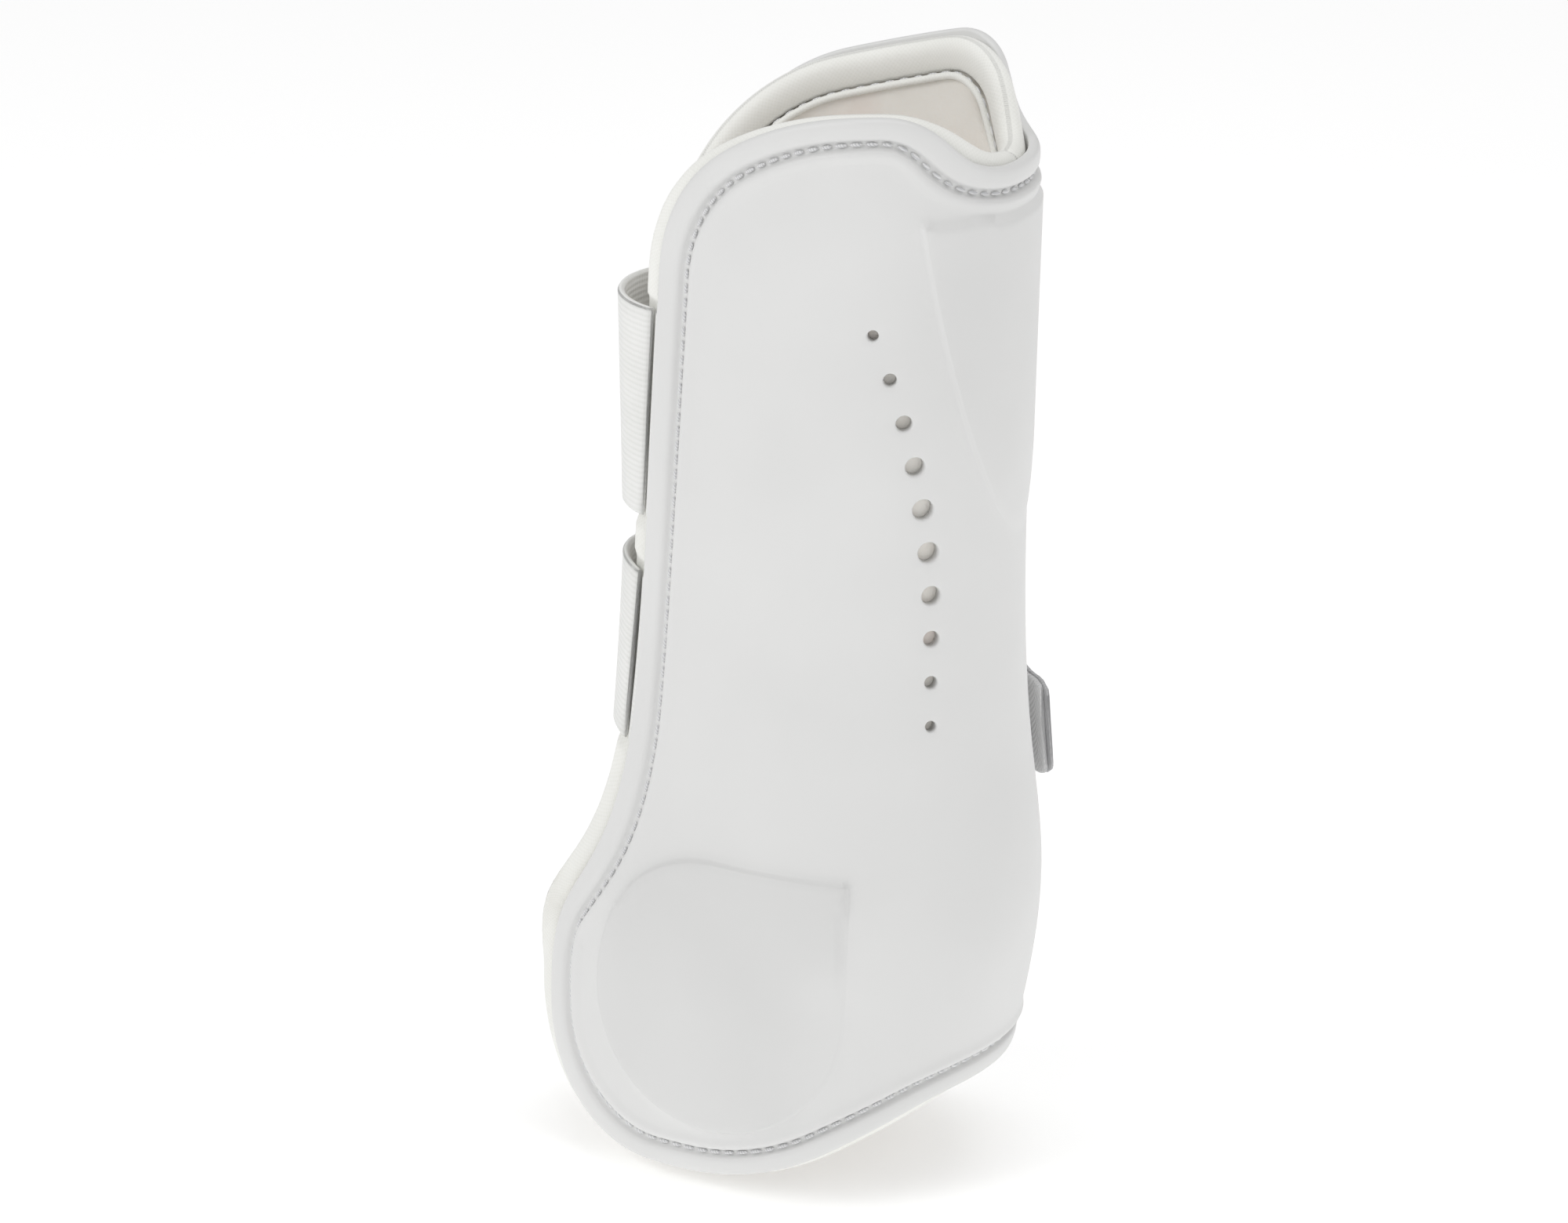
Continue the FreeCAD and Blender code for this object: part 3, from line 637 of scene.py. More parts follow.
def inward_normals(loop: np.ndarray) -> np.ndarray:
    """Unit normals to the left of a closed line that runs anticlockwise, softened over its neighbours."""
    ahead = np.roll(loop, -2, axis=0) - np.roll(loop, 2, axis=0)
    ahead = ahead + 0.5 * (np.roll(ahead, 1, axis=0) + np.roll(ahead, -1, axis=0))
    ahead /= np.linalg.norm(ahead, axis=1)[:, None]
    return np.stack([-ahead[:, 1], ahead[:, 0]], axis=1)


def inside(points: np.ndarray, loop: np.ndarray) -> np.ndarray:
    """Whether each point lies in a closed line.

    Args:
        points: Points, one row each.
        loop: The closed line, one row for each corner.

    Returns:
        True where a point is inside.
    """
    hit = np.zeros(len(points), bool)
    x, y = points[:, 0], points[:, 1]
    for (ax, ay), (bx, by) in zip(loop, np.roll(loop, -1, axis=0)):
        if ay == by:
            continue
        crosses = (ay > y) != (by > y)
        hit ^= crosses & (x < (bx - ax) * (y - ay) / (by - ay) + ax)
    return hit


def fill(
    edge: np.ndarray, holes: list[np.ndarray], rows: list[np.ndarray], step: float
) -> tuple[np.ndarray, list[tuple[int, int, int]]]:
    """Triangulate the flat area inside a closed line.

    Args:
        edge: The closed line.
        holes: Closed lines left open.
        rows: Extra lines of points that the triangles follow.
        step: Spacing of the points between them.

    Returns:
        The points, which begin with the edge and then each hole in turn, and the triangles.
    """
    fixed = [edge, *holes, *rows]
    known = np.vstack(fixed)
    low, high = edge.min(0), edge.max(0)
    columns = np.arange(low[0], high[0], step)
    levels = np.arange(low[1], high[1], step * 0.866)
    grid = np.array([(x + (0.5 * step if k % 2 else 0.0), y) for k, y in enumerate(levels) for x in columns])
    grid = grid[inside(grid, edge)]
    for hole in holes:
        grid = grid[~inside(grid, hole)]
    tree = KDTree(len(known))
    for i, p in enumerate(known):
        tree.insert((p[0], p[1], 0.0), i)
    tree.balance()
    clear = [tree.find((p[0], p[1], 0.0))[2] > 0.62 * step for p in grid]
    points = np.vstack([known, grid[np.array(clear)]])
    loops = [edge, *holes]
    bonds, start = [], 0
    for loop in loops:
        count = len(loop)
        bonds += [(start + i, start + (i + 1) % count) for i in range(count)]
        start += count
    ring_points = start
    made = delaunay_2d_cdt([Vector(p) for p in points.tolist()], bonds, [], 0, 1e-7)
    corners = np.array([tuple(v) for v in made[0]])
    source = [origin[0] if origin else -1 for origin in made[3]]
    order = {old: new for new, old in enumerate(source) if old >= 0}
    faces = np.array([f for f in made[2] if len(f) == 3])
    on_ring = np.array([0 <= s < ring_points for s in source])
    doubtful = on_ring[faces].all(axis=1)
    middles = corners[faces].mean(axis=1)
    keep = np.ones(len(faces), bool)
    spots = np.where(doubtful)[0]
    good = inside(middles[spots], edge)
    for hole in holes:
        good &= ~inside(middles[spots], hole)
    keep[spots] = good
    faces = faces[keep]
    rank = np.full(len(corners), -1)
    for old in range(ring_points):
        rank[order[old]] = old
    spare = ring_points
    for new in range(len(corners)):
        if rank[new] < 0:
            rank[new] = spare
            spare += 1
    placed = np.zeros_like(corners)
    placed[rank] = corners
    return placed, [tuple(int(c) for c in rank[f]) for f in faces]


def smooth_step(value: np.ndarray | float, low: float, high: float) -> np.ndarray:
    """Zero below low, one above high, and smooth between them."""
    t = np.clip((np.asarray(value, float) - low) / (high - low), 0.0, 1.0)
    return t * t * (3.0 - 2.0 * t)


def line_piece(name: str, points: np.ndarray, closed: bool) -> bpy.types.Object:
    """A bare line of edges for a node tree to follow.

    Args:
        name: The object's name.
        points: Points in millimetres.
        closed: Whether the line closes.

    Returns:
        The line's object.
    """
    mesh = bpy.data.meshes.new(name)
    count = len(points)
    bonds = [(i, (i + 1) % count) for i in range(count if closed else count - 1)]
    mesh.from_pydata((np.asarray(points) * MM).tolist(), bonds, [])
    made = bpy.data.objects.new(name, mesh)
    bpy.context.scene.collection.objects.link(made)
    return made


def join_lines(lines: list[bpy.types.Object]) -> bpy.types.Object:
    """Put several lines in one object.

    Args:
        lines: The lines, of which all but the first are removed.

    Returns:
        The first, which holds them all.
    """
    sheet = bmesh.new()
    for line in lines:
        sheet.from_mesh(line.data)
    for line in lines[1:]:
        bpy.data.objects.remove(line)
    sheet.to_mesh(lines[0].data)
    sheet.free()
    return lines[0]


# ---------------------------------------------------------------------------- node trees


@dataclass
class NodeMaker:
    """A geometry node tree with named inputs, and its use on a piece."""

    name: str
    inputs: dict[str, float | int]
    tree: bpy.types.NodeTree = field(init=False)
    given: bpy.types.Node = field(init=False)

    def __post_init__(self) -> None:
        """Start the tree with its sockets."""
        self.tree = bpy.data.node_groups.new(self.name, "GeometryNodeTree")
        face = self.tree.interface
        face.new_socket("Geometry", in_out="INPUT", socket_type="NodeSocketGeometry")
        for label, value in self.inputs.items():
            kind = "NodeSocketInt" if isinstance(value, int) else "NodeSocketFloat"
            face.new_socket(label, in_out="INPUT", socket_type=kind).default_value = value
        face.new_socket("Geometry", in_out="OUTPUT", socket_type="NodeSocketGeometry")
        self.given = add_node(self.tree, "NodeGroupInput")

    def close(self, geometry: bpy.types.NodeSocket, material: bpy.types.Material) -> None:
        """End the tree with real meshes in one material.

        Args:
            geometry: What the tree has made.
            material: The material of all of it.
        """
        real = add_node(self.tree, "GeometryNodeRealizeInstances", {"Geometry": geometry})
        smooth = add_node(
            self.tree, "GeometryNodeSetShadeSmooth", {"Geometry": real.outputs["Geometry"]}
        )
        dressed = add_node(
            self.tree,
            "GeometryNodeSetMaterial",
            {"Geometry": smooth.outputs["Geometry"], "Material": material},
        )
        add_node(self.tree, "NodeGroupOutput", {"Geometry": dressed.outputs["Geometry"]})

    def use(self, base: bpy.types.Object, name: str, **sizes: float) -> bpy.types.Object:
        """Grow the tree's pieces on a base and keep them as a plain mesh.

        Args:
            base: The line or surface that they follow, which is removed.
            name: The new piece's name.
            sizes: Inputs of the tree, with spaces in their names written as underscores.

        Returns:
            The new piece.
        """
        modifier = base.modifiers.new(self.name, "NODES")
        modifier.node_group = self.tree
        wanted = {label.replace("_", " "): value for label, value in sizes.items()}
        for item in self.tree.interface.items_tree:
            if item.item_type == "SOCKET" and item.in_out == "INPUT" and item.name in wanted:
                modifier[item.identifier] = wanted[item.name]
        graph = bpy.context.evaluated_depsgraph_get()
        mesh = bpy.data.meshes.new_from_object(base.evaluated_get(graph))
        base.modifiers.remove(modifier)
        made = bpy.data.objects.new(name, mesh)
        mesh.name = name
        bpy.context.scene.collection.objects.link(made)
        bpy.data.objects.remove(base)
        return made


def stitch_maker(material: bpy.types.Material) -> NodeMaker:
    """Tree that sews a row of plump stitches along a line.

    Args:
        material: The material of what it makes.

    Returns:
        The maker.
    """
    maker = NodeMaker(
        "stitch_row",
        {"Pitch": 0.0046, "Stitch Length": 0.0034, "Thread Width": 0.0008, "Unevenness": 0.12, "Seed": 7},
    )
    tree, given = maker.tree, maker.given
    line = add_node(tree, "GeometryNodeMeshToCurve", {"Mesh": given.outputs["Geometry"]})
    spots = add_node(
        tree,
        "GeometryNodeCurveToPoints",
        {"Curve": line.outputs["Curve"], "Length": given.outputs["Pitch"]},
        mode="LENGTH",
    )
    stitch = add_node(tree, "GeometryNodeMeshUVSphere", {"Segments": 8, "Rings": 6, "Radius": 0.5})
    low = add_node(tree, "ShaderNodeMath", {0: 1.0, 1: given.outputs["Unevenness"]}, operation="SUBTRACT")
    high = add_node(tree, "ShaderNodeMath", {0: 1.0, 1: given.outputs["Unevenness"]}, operation="ADD")
    spread = add_node(
        tree,
        "FunctionNodeRandomValue",
        {2: low.outputs[0], 3: high.outputs[0], "Seed": given.outputs["Seed"]},
        data_type="FLOAT",
    )
    length = add_node(
        tree,
        "ShaderNodeMath",
        {0: given.outputs["Stitch Length"], 1: spread.outputs[1]},
        operation="MULTIPLY",
    )
    size = add_node(
        tree,
        "ShaderNodeCombineXYZ",
        {"X": given.outputs["Thread Width"], "Y": given.outputs["Thread Width"], "Z": length.outputs[0]},
    )
    sewn = add_node(
        tree,
        "GeometryNodeInstanceOnPoints",
        {
            "Points": spots.outputs["Points"],
            "Instance": stitch.outputs["Mesh"],
            "Rotation": spots.outputs["Rotation"],
            "Scale": size.outputs["Vector"],
        },
    )
    maker.close(sewn.outputs["Instances"], material)
    return maker


def hook_maker(material: bpy.types.Material) -> NodeMaker:
    """Tree that stands small stiff hooks on a surface.

    Args:
        material: The material of what it makes.

    Returns:
        The maker.
    """
    maker = NodeMaker(
        "hook_field", {"Spacing": 0.0022, "Hook Height": 0.0003, "Hook Width": 0.00035, "Seed": 3}
    )
    tree, given = maker.tree, maker.given
    square = add_node(tree, "ShaderNodeMath", {0: given.outputs["Spacing"], 1: 2.0}, operation="POWER")
    density = add_node(tree, "ShaderNodeMath", {0: 1.0, 1: square.outputs[0]}, operation="DIVIDE")
    spots = add_node(
        tree,
        "GeometryNodeDistributePointsOnFaces",
        {
            "Mesh": given.outputs["Geometry"],
            "Distance Min": given.outputs["Spacing"],
            "Density Max": density.outputs[0],
            "Seed": given.outputs["Seed"],
        },
        distribute_method="POISSON",
    )
    half = add_node(tree, "ShaderNodeMath", {0: given.outputs["Hook Width"], 1: 0.5}, operation="MULTIPLY")
    tip = add_node(tree, "ShaderNodeMath", {0: given.outputs["Hook Width"], 1: 0.28}, operation="MULTIPLY")
    hook = add_node(
        tree,
        "GeometryNodeMeshCone",
        {
            "Vertices": 5,
            "Radius Top": tip.outputs[0],
            "Radius Bottom": half.outputs[0],
            "Depth": given.outputs["Hook Height"],
        },
    )
    set_out = add_node(
        tree,
        "GeometryNodeInstanceOnPoints",
        {
            "Points": spots.outputs["Points"],
            "Instance": hook.outputs["Mesh"],
            "Rotation": spots.outputs["Rotation"],
        },
    )
    maker.close(set_out.outputs["Instances"], material)
    return maker


# ---------------------------------------------------------------------------- the leg's form


class Side(Enum):
    """The two panels of the boot."""

    INSIDE = -1
    OUTSIDE = 1


@dataclass(frozen=True)
class LegForm:
    """Plan sections of the shell's outer face: half round at the back, two side arcs that meet in front.

    A place on it is a girth, measured round from straight back and positive on the outside of the leg,
    a height, and how far it stands off the face.
    """

    side_radius: float = 90.0
    outside_lead: float = 0.10
    heights: tuple[float, ...] = (-14.0, 12.0, 38.0, 66.0, 95.0, 126.0, 160.75, 195.5, 230.25, 265.0)
    rears: tuple[float, ...] = (43.0, 50.0, 56.0, 59.0, 56.6, 55.0, 55.3, 56.2, 57.2, 58.0)
    halves: tuple[float, ...] = (37.0, 41.0, 42.5, 39.3, 34.4, 32.0, 32.1, 32.6, 33.3, 34.0)

    @cached_property
    def bends(self) -> tuple[np.ndarray, np.ndarray]:
        """Second slopes of the two curves through the stations, flat at both ends."""
        z = np.array(self.heights)
        gap = np.diff(z)
        count = len(z)
        out = []
        for values in (np.array(self.rears), np.array(self.halves)):
            left = np.eye(count)
            right = np.zeros(count)
            for i in range(1, count - 1):
                left[i, i - 1 : i + 2] = (gap[i - 1], 2 * (gap[i - 1] + gap[i]), gap[i])
                after, before = (values[i + 1] - values[i]) / gap[i], (values[i] - values[i - 1]) / gap[i - 1]
                right[i] = 6 * (after - before)
            out.append(np.linalg.solve(left, right))
        return out[0], out[1]

    def curve(self, z: np.ndarray, values: tuple[float, ...], bend: np.ndarray) -> np.ndarray:
        """A smooth curve through the stations at any height.

        Args:
            z: Heights.
            values: The curve's value at each station.
            bend: Its second slope at each station.

        Returns:
            Its values at the heights.
        """
        at = np.array(self.heights)
        v = np.array(values)
        z = np.clip(z, at[0], at[-1])
        i = np.clip(np.searchsorted(at, z) - 1, 0, len(at) - 2)
        h = at[i + 1] - at[i]
        a = (at[i + 1] - z) / h
        b = (z - at[i]) / h
        return a * v[i] + b * v[i + 1] + ((a**3 - a) * bend[i] + (b**3 - b) * bend[i + 1]) * h * h / 6

    def section(self, z: np.ndarray | float) -> tuple[np.ndarray, np.ndarray]:
        """Centre X and half width at a height."""
        z = np.asarray(z, float)
        rear = self.curve(z, self.rears, self.bends[0])
        half = self.curve(z, self.halves, self.bends[1])
        return rear - half, half

    def place(self, girth: np.ndarray, z: np.ndarray, off: np.ndarray | float) -> np.ndarray:
        """Points in space.

        Args:
            girth: Distance round from straight back.
            z: Heights.
            off: Distance outwards from the face.

        Returns:
            One row per point.
        """
        girth, z, off = np.broadcast_arrays(*(np.asarray(v, float) for v in (girth, z, off)))
        centre, half = self.section(z)
        quarter = half * math.pi / 2
        round_back = girth / half
        along = (np.abs(girth) - quarter) / self.side_radius
        on_back = np.abs(girth) <= quarter
        x_back = centre + (half + off) * np.cos(round_back)
        y_back = (half + off) * np.sin(round_back)
        x_side = centre - (self.side_radius + off) * np.sin(along)
        y_side = np.sign(girth) * ((self.side_radius + off) * np.cos(along) - (self.side_radius - half))
        return np.stack([np.where(on_back, x_back, x_side), np.where(on_back, y_back, y_side), z], axis=-1)

    def girth_at(
        self, x: np.ndarray, z: np.ndarray, side: Side, off: float, lead: float | None = None
    ) -> np.ndarray:
        """Girth of the place that has a given X in the side view.

        Args:
            x: X on the middle plane.
            z: Heights.
            side: Which panel.
            off: Distance outwards from the face.
            lead: How far the view's lines lead forward per mm of width.

        Returns:
            The girths, nought where the X lies behind the boot.
        """
        lead = self.outside_lead if lead is None else lead
        x, z = np.broadcast_arrays(np.asarray(x, float), np.asarray(z, float))
        low = np.zeros(x.shape)
        high = np.full(x.shape, 185.0)
        for _ in range(44):
            middle = (low + high) / 2
            spot = self.place(side.value * middle, z, off)
            behind = spot[..., 0] + lead * spot[..., 1] > x
            low = np.where(behind, middle, low)
            high = np.where(behind, high, middle)
        rear = self.place(np.zeros(x.shape), z, off)[..., 0]
        return side.value * np.where(x >= rear, 0.0, (low + high) / 2)


@dataclass(frozen=True)
class SideOutline:
    """Side view of the shell's edge, as tangent lines and arcs from the top of the back round the front."""

    height: float = 249.0
    crown_x: float = 31.0
    dome_radius: float = 67.0
    dome_turn: float = 33.0
    dome_run: float = 0.0
    front_corner_radius: float = 42.0
    front_lean: float = 4.0
    neck_radius: float = 140.0
    neck_turn: float = 22.0
    lobe_radius: float = 60.0
    toe_radius: float = 28.0
    sole_run: float = 8.0
    heel_radius: float = 75.0
    heel_turn: float = 28.0
    heel_rise: float = 22.0
    heel_blend: float = 35.0
    shoulder_radius: float = 17.0
    scoop_turn: float = 50.0
    scoop_radius: float = 14.5
    scoop_depth: float = 15.0
    lobe_swell: float = 2.9
    lobe_middle: float = 50.0
    lobe_spread: float = 17.0
    outside_rise: float = 3.0
    reach: float = 82.0
    step: float = 0.5

    def outside(self) -> SideOutline:
        """The outside panel's outline, whose top rises to a point near the back and falls steeply."""
        return replace(
            self,
            height=self.height + self.outside_rise,
            crown_x=36.5,
            dome_radius=12.0,
            dome_turn=14.0,
            dome_run=27.2,
            shoulder_radius=10.0,
            scoop_turn=70.0,
            scoop_radius=8.0,
            scoop_depth=self.scoop_depth + self.outside_rise,
        )

    def moves(self) -> list[tuple[float, float]]:
        """Radius and turn in degrees of each arc, or nought and the length of a line."""

        def fall(radius: float, first: float, last: float) -> float:
            """Drop over an arc between two headings in degrees."""
            return radius * abs(math.cos(math.radians(first)) - math.cos(math.radians(last)))

        lean = 90.0 - self.front_lean
        steep = lean - self.neck_turn
        ramp = self.scoop_depth - fall(self.shoulder_radius, 0, self.scoop_turn)
        ramp = (ramp - fall(self.scoop_radius, 0, self.scoop_turn)) / math.sin(math.radians(self.scoop_turn))
        foot = self.crown_x + ramp * math.cos(math.radians(self.scoop_turn))
        foot += (self.shoulder_radius + self.scoop_radius) * math.sin(math.radians(self.scoop_turn))
        shaft = self.height - fall(self.dome_radius, 0, self.dome_turn)
        shaft -= fall(self.front_corner_radius, self.dome_turn, lean)
        shaft -= self.dome_run * math.sin(math.radians(self.dome_turn))
        shaft -= fall(self.neck_radius, steep, lean) + fall(self.lobe_radius, steep, 90.0) + self.toe_radius
        rise = fall(self.heel_radius, 0, self.heel_turn) + fall(self.heel_blend, 0, self.heel_turn)
        slope = (self.heel_rise - rise) / math.sin(math.radians(self.heel_turn))
        return [
            (0.0, self.reach - foot),
            (self.scoop_radius, -self.scoop_turn),
            (0.0, ramp),
            (self.shoulder_radius, self.scoop_turn),
            (self.dome_radius, self.dome_turn),
            (0.0, self.dome_run),
            (self.front_corner_radius, lean - self.dome_turn),
            (0.0, shaft / math.sin(math.radians(lean))),
            (self.neck_radius, -self.neck_turn),
            (self.lobe_radius, 90.0 - steep),
            (self.toe_radius, 90.0),
            (0.0, self.sole_run),
            (self.heel_radius, self.heel_turn),
            (0.0, slope),
            (self.heel_blend, -self.heel_turn),
            (0.0, 45.0),
        ]

    def line(self, grow: float, forward: float, down: float) -> np.ndarray:
        """Points along the outline.

        Args:
            grow: How far outside the shell's edge it runs.
            forward: Shift to the front.
            down: Shift downwards at the top, fading to none at the bottom.

        Returns:
            X and Z of each point.
        """
        x, z, heading = self.reach, self.height - self.scoop_depth, math.pi
        rows = []
        for radius, amount in self.moves():
            length = amount if radius == 0.0 else radius * abs(math.radians(amount))
            if length < 1e-6:
                continue
            count = max(1, int(length / self.step))
            curl = 0.0 if radius == 0.0 else math.radians(amount) / length
            for _ in range(count):
                rows.append((x + grow * math.sin(heading), z - grow * math.cos(heading)))
                part = length / count
                middle = heading + curl * part / 2
                chord = part if curl == 0.0 else 2 * math.sin(abs(curl) * part / 2) / abs(curl)
                x += chord * math.cos(middle)
                z += chord * math.sin(middle)
                heading += curl * part
        rows.append((x + grow * math.sin(heading), z - grow * math.cos(heading)))
        line = np.array(rows) - np.array([forward, 0.0])
        line[:, 1] -= down * smooth_step(line[:, 1], 60.0, 180.0)
        swell = self.lobe_swell * np.exp(-(((line[:, 1] - self.lobe_middle) / self.lobe_spread) ** 2))
        line[:, 0] -= swell * smooth_step(-line[:, 0], 10.0, 45.0)
        return line


@dataclass(frozen=True)
class Edge:
    """A closed line round the boot on the unrolled form, with its inward normals."""

    form: LegForm
    spots: np.ndarray
    inward: np.ndarray

    @classmethod
    def around(
        cls,
        form: LegForm,
        outline: SideOutline,
        grow: float,
        forward: float,
        down: float,
        off: float,
        step: float,
    ) -> Edge:
        """Lay the side outline on both panels.

        Args:
            form: The leg's form.
            outline: The side view.
            grow: How far outside the shell's edge.
            forward: Shift to the front.
            down: Shift downwards.
            off: The layer that it is measured on.
            step: Spacing of its points.

        Returns:
            The edge, anticlockwise on the unrolled form.
        """
        line = outline.line(grow, forward, down)
        near = np.stack([form.girth_at(line[:, 0], line[:, 1], Side.INSIDE, off), line[:, 1]], axis=1)
        line = outline.outside().line(grow, forward, down)
        far = np.stack([form.girth_at(line[:, 0], line[:, 1], Side.OUTSIDE, off), line[:, 1]], axis=1)[::-1]
        spots = even(np.vstack([near, far]), step, True)
        for _ in range(2):
            spots = 0.5 * spots + 0.25 * (np.roll(spots, 1, axis=0) + np.roll(spots, -1, axis=0))
        return cls(form, spots, inward_normals(spots))

    def ring(self, depth: float | np.ndarray, front_growth: float = 0.0) -> np.ndarray:
        """The line moved inwards, further where it runs up the front if asked."""
        scale = 1.0 + front_growth * self.inward[:, 0] ** 2
        return self.spots + self.inward * (np.asarray(depth) * scale)[:, None]


# ---------------------------------------------------------------------------- shell


@dataclass
class ShellMoulding:
    """The moulded shell: rounded rim, stitch groove with its lip, raised panels and two rows of vents."""

    form: LegForm
    outline: SideOutline
    wall: float = 2.6
    front_growth: float = 0.5
    stitch_depth: float = 5.75
    stitch_level: float = -1.15
    petal_x: float = -3.0
    petal_z: float = 43.0
    petal_radius: float = 31.0
    petal_height: float = 1.25
    guard_top_z: float = 224.5
    guard_top_x: float = 41.5
    guard_low_z: float = 139.0
    guard_height: float = 1.1
    panel_ramp: float = 0.5
    vent_count: int = 10
    vent_low_z: float = 109.0
    vent_pitch: float = 10.1
    vent_small: float = 2.5
    vent_extra: float = 2.4
    vent_angle: float = 51.0
    vent_sweep: float = 25.0
    rim_profile: tuple[tuple[float, float], ...] = (
        (0.40, -2.60), (0.10, -2.48), (0.0, -2.20), (0.0, -1.40), (0.06, -0.90), (0.24, -0.45), (0.60, -0.14),
        (1.15, 0.04), (2.0, 0.12), (3.0, 0.10), (3.9, 0.0), (4.40, -0.26), (4.72, -0.78), (4.95, -1.30),
        (5.35, -1.50), (6.15, -1.50), (6.50, -1.25), (6.72, -0.65), (6.92, 0.0), (7.30, 0.42), (7.90, 0.56),
        (8.60, 0.40), (9.40, 0.12), (10.2, 0.0),
    )

    def petal_outline(self) -> np.ndarray:
        """Side view of the raised petal: round, with one square corner up and back."""
        r = self.petal_radius
        turn = np.radians(np.linspace(90, 360, 150))
        ring = np.stack([self.petal_x + r * np.cos(turn), self.petal_z + r * np.sin(turn)], axis=1)
        corner = 1.2
        bend = np.radians(np.linspace(0, 90, 6))
        tip = np.stack(
            [
                self.petal_x + r - corner + corner * np.cos(bend),
                self.petal_z + r - corner + corner * np.sin(bend),
            ],
            axis=1,
        )
        return np.vstack([ring, tip])

    def petal_rise(self, x: np.ndarray, z: np.ndarray) -> np.ndarray:
        """How far the petal is raised, fading to the lower back.

        Args:
            x: X of each place.
            z: Height of each place.

        Returns:
            Its rise, as a share of the full height.
        """
        dx, dz = x - self.petal_x, z - self.petal_z
        square = np.maximum(np.abs(dx), np.abs(dz))
        reach = np.where((dx > 0) & (dz > 0), square, np.hypot(dx, dz)) - self.petal_radius
        rise = 1.0 - smooth_step(reach, -self.panel_ramp, self.panel_ramp)
        angle = np.degrees(np.arctan2(dz, dx))
        fade = smooth_step(angle, -62, -30) * (1.0 - smooth_step(angle, 5, 30))
        outer = smooth_step(np.hypot(dx, dz), 0.35 * self.petal_radius, self.petal_radius)
        return rise * (1.0 - 0.8 * fade * outer)

    def guard_edge(self, z: np.ndarray) -> np.ndarray:
        """X of the tendon guard's front edge at a height."""
        t = self.guard_top_z - z
        return self.guard_top_x + 0.1238 * t + 0.000753 * t * t

    def guard_rise(self, x: np.ndarray, z: np.ndarray) -> np.ndarray:
        """How far the tendon guard is raised at a place, as a share."""
        across = smooth_step(x - self.guard_edge(z), -self.panel_ramp, self.panel_ramp)
        top = 1.0 - smooth_step(z - self.guard_top_z, -0.4, 0.4)
        return across * top * smooth_step(z, self.guard_low_z, self.guard_low_z + 30.0)

    def skin(self, spots: np.ndarray) -> tuple[np.ndarray, np.ndarray]:
        """Relief of the outer face away from the rim, and how much painted shade each place on the raised
        panels gets.
        """
        flat = self.form.place(spots[:, 0], spots[:, 1], 0.0)
        petal = self.petal_rise(flat[:, 0], flat[:, 2])
        guard = self.guard_rise(flat[:, 0], flat[:, 2])
        return petal * self.petal_height + guard * self.guard_height, 0.55 * petal + 0.2 * guard

    def vents(self) -> list[tuple[float, float, float]]:
        """Girth, height and radius of every vent."""
        out = []
        for side in Side:
            for number in range(self.vent_count):
                share = (number + 0.5) / self.vent_count
                z = self.vent_low_z + number * self.vent_pitch
                climb = max(0.0, number - 0.25 * (self.vent_count - 1)) / (0.75 * (self.vent_count - 1))
                angle = math.radians(self.vent_angle + self.vent_sweep * climb**2)
                half = float(self.form.section(z)[1])
                size = self.vent_small + self.vent_extra * math.sin(math.pi * share) ** 2
                out.append((side.value * half * angle, z, size / 2))
        return out

    def contour_rows(self) -> list[np.ndarray]:
        """Lines of points along the raised panels' slopes, on both panels."""
        rows = []
        petal = self.petal_outline()
        guard_z = np.arange(self.guard_low_z + 8, self.guard_top_z + 0.1, 1.0)
        guard = np.stack([self.guard_edge(guard_z), guard_z], axis=1)
        for side in Side:
            for contour, closed in ((petal, True), (guard, False)):
                girth = self.form.girth_at(contour[:, 0], contour[:, 1], side, 0.0, lead=0.0)
                line = np.stack([girth, contour[:, 1]], axis=1)
                line = line[np.abs(line[:, 0]) > 2.0]
                line = even(line, 1.0, closed)
                ahead = np.gradient(line, axis=0)
                ahead /= np.linalg.norm(ahead, axis=1)[:, None]
                across = np.stack([-ahead[:, 1], ahead[:, 0]], axis=1)
                for shift in (-1.2, -0.5, 0.0, 0.5, 1.2):
                    rows.append(line + across * shift * self.panel_ramp * 1.1)
        return rows

    def build(self) -> bpy.types.Object:
        """Make the shell as one closed mesh.

        Returns:
            The shell's object.
        """
        edge = Edge.around(self.form, self.outline, 0.0, 0.0, 0.0, 0.0, 1.2)
        count = len(edge.spots)
        spots, offs, raised = [], [], []
        for depth, level in self.rim_profile:
            spots.append(edge.ring(depth, self.front_growth))
            offs.append(np.full(count, level))
            raised.append(np.zeros(count))
        faces: list[tuple[int, ...]] = []
        for k in range(len(self.rim_profile) - 1):
            for i in range(count):
                j = (i + 1) % count
                faces.append((k * count + i, k * count + j, (k + 1) * count + j, (k + 1) * count + i))
        turns = np.linspace(0.0, 2 * math.pi, 21)[:-1]
        circle = np.stack([np.cos(turns), np.sin(turns)], axis=1)
        vents = self.vents()
        mouth = [np.array([g, z]) + circle * (r + 0.45) for g, z, r in vents]
        bore = [np.array([g, z]) + circle * r for g, z, r in vents]
        rows = [row[inside(row, edge.ring(11.0, self.front_growth))] for row in self.contour_rows()]
        face_spots, face_tris = fill(spots[-1], mouth, rows, 1.7)
        back_spots, back_tris = fill(spots[0], bore, [], 4.5)
        # tone is painted shade on the raised panels, kept below in the raised attribute.
        relief, tone = self.skin(face_spots)
        relief[:count] = 0.0
        base = len(self.rim_profile) * count
        shift = base - count

        def outer(index: int) -> int:
            """Corner number of an outer face's own corner."""
            return shift + index

        faces += [tuple(outer(c) for c in tri) for tri in face_tris]
        spots.append(face_spots[count:])
        offs.append(relief[count:])
        raised.append(tone[count:])
        back_start = base + len(face_spots) - count

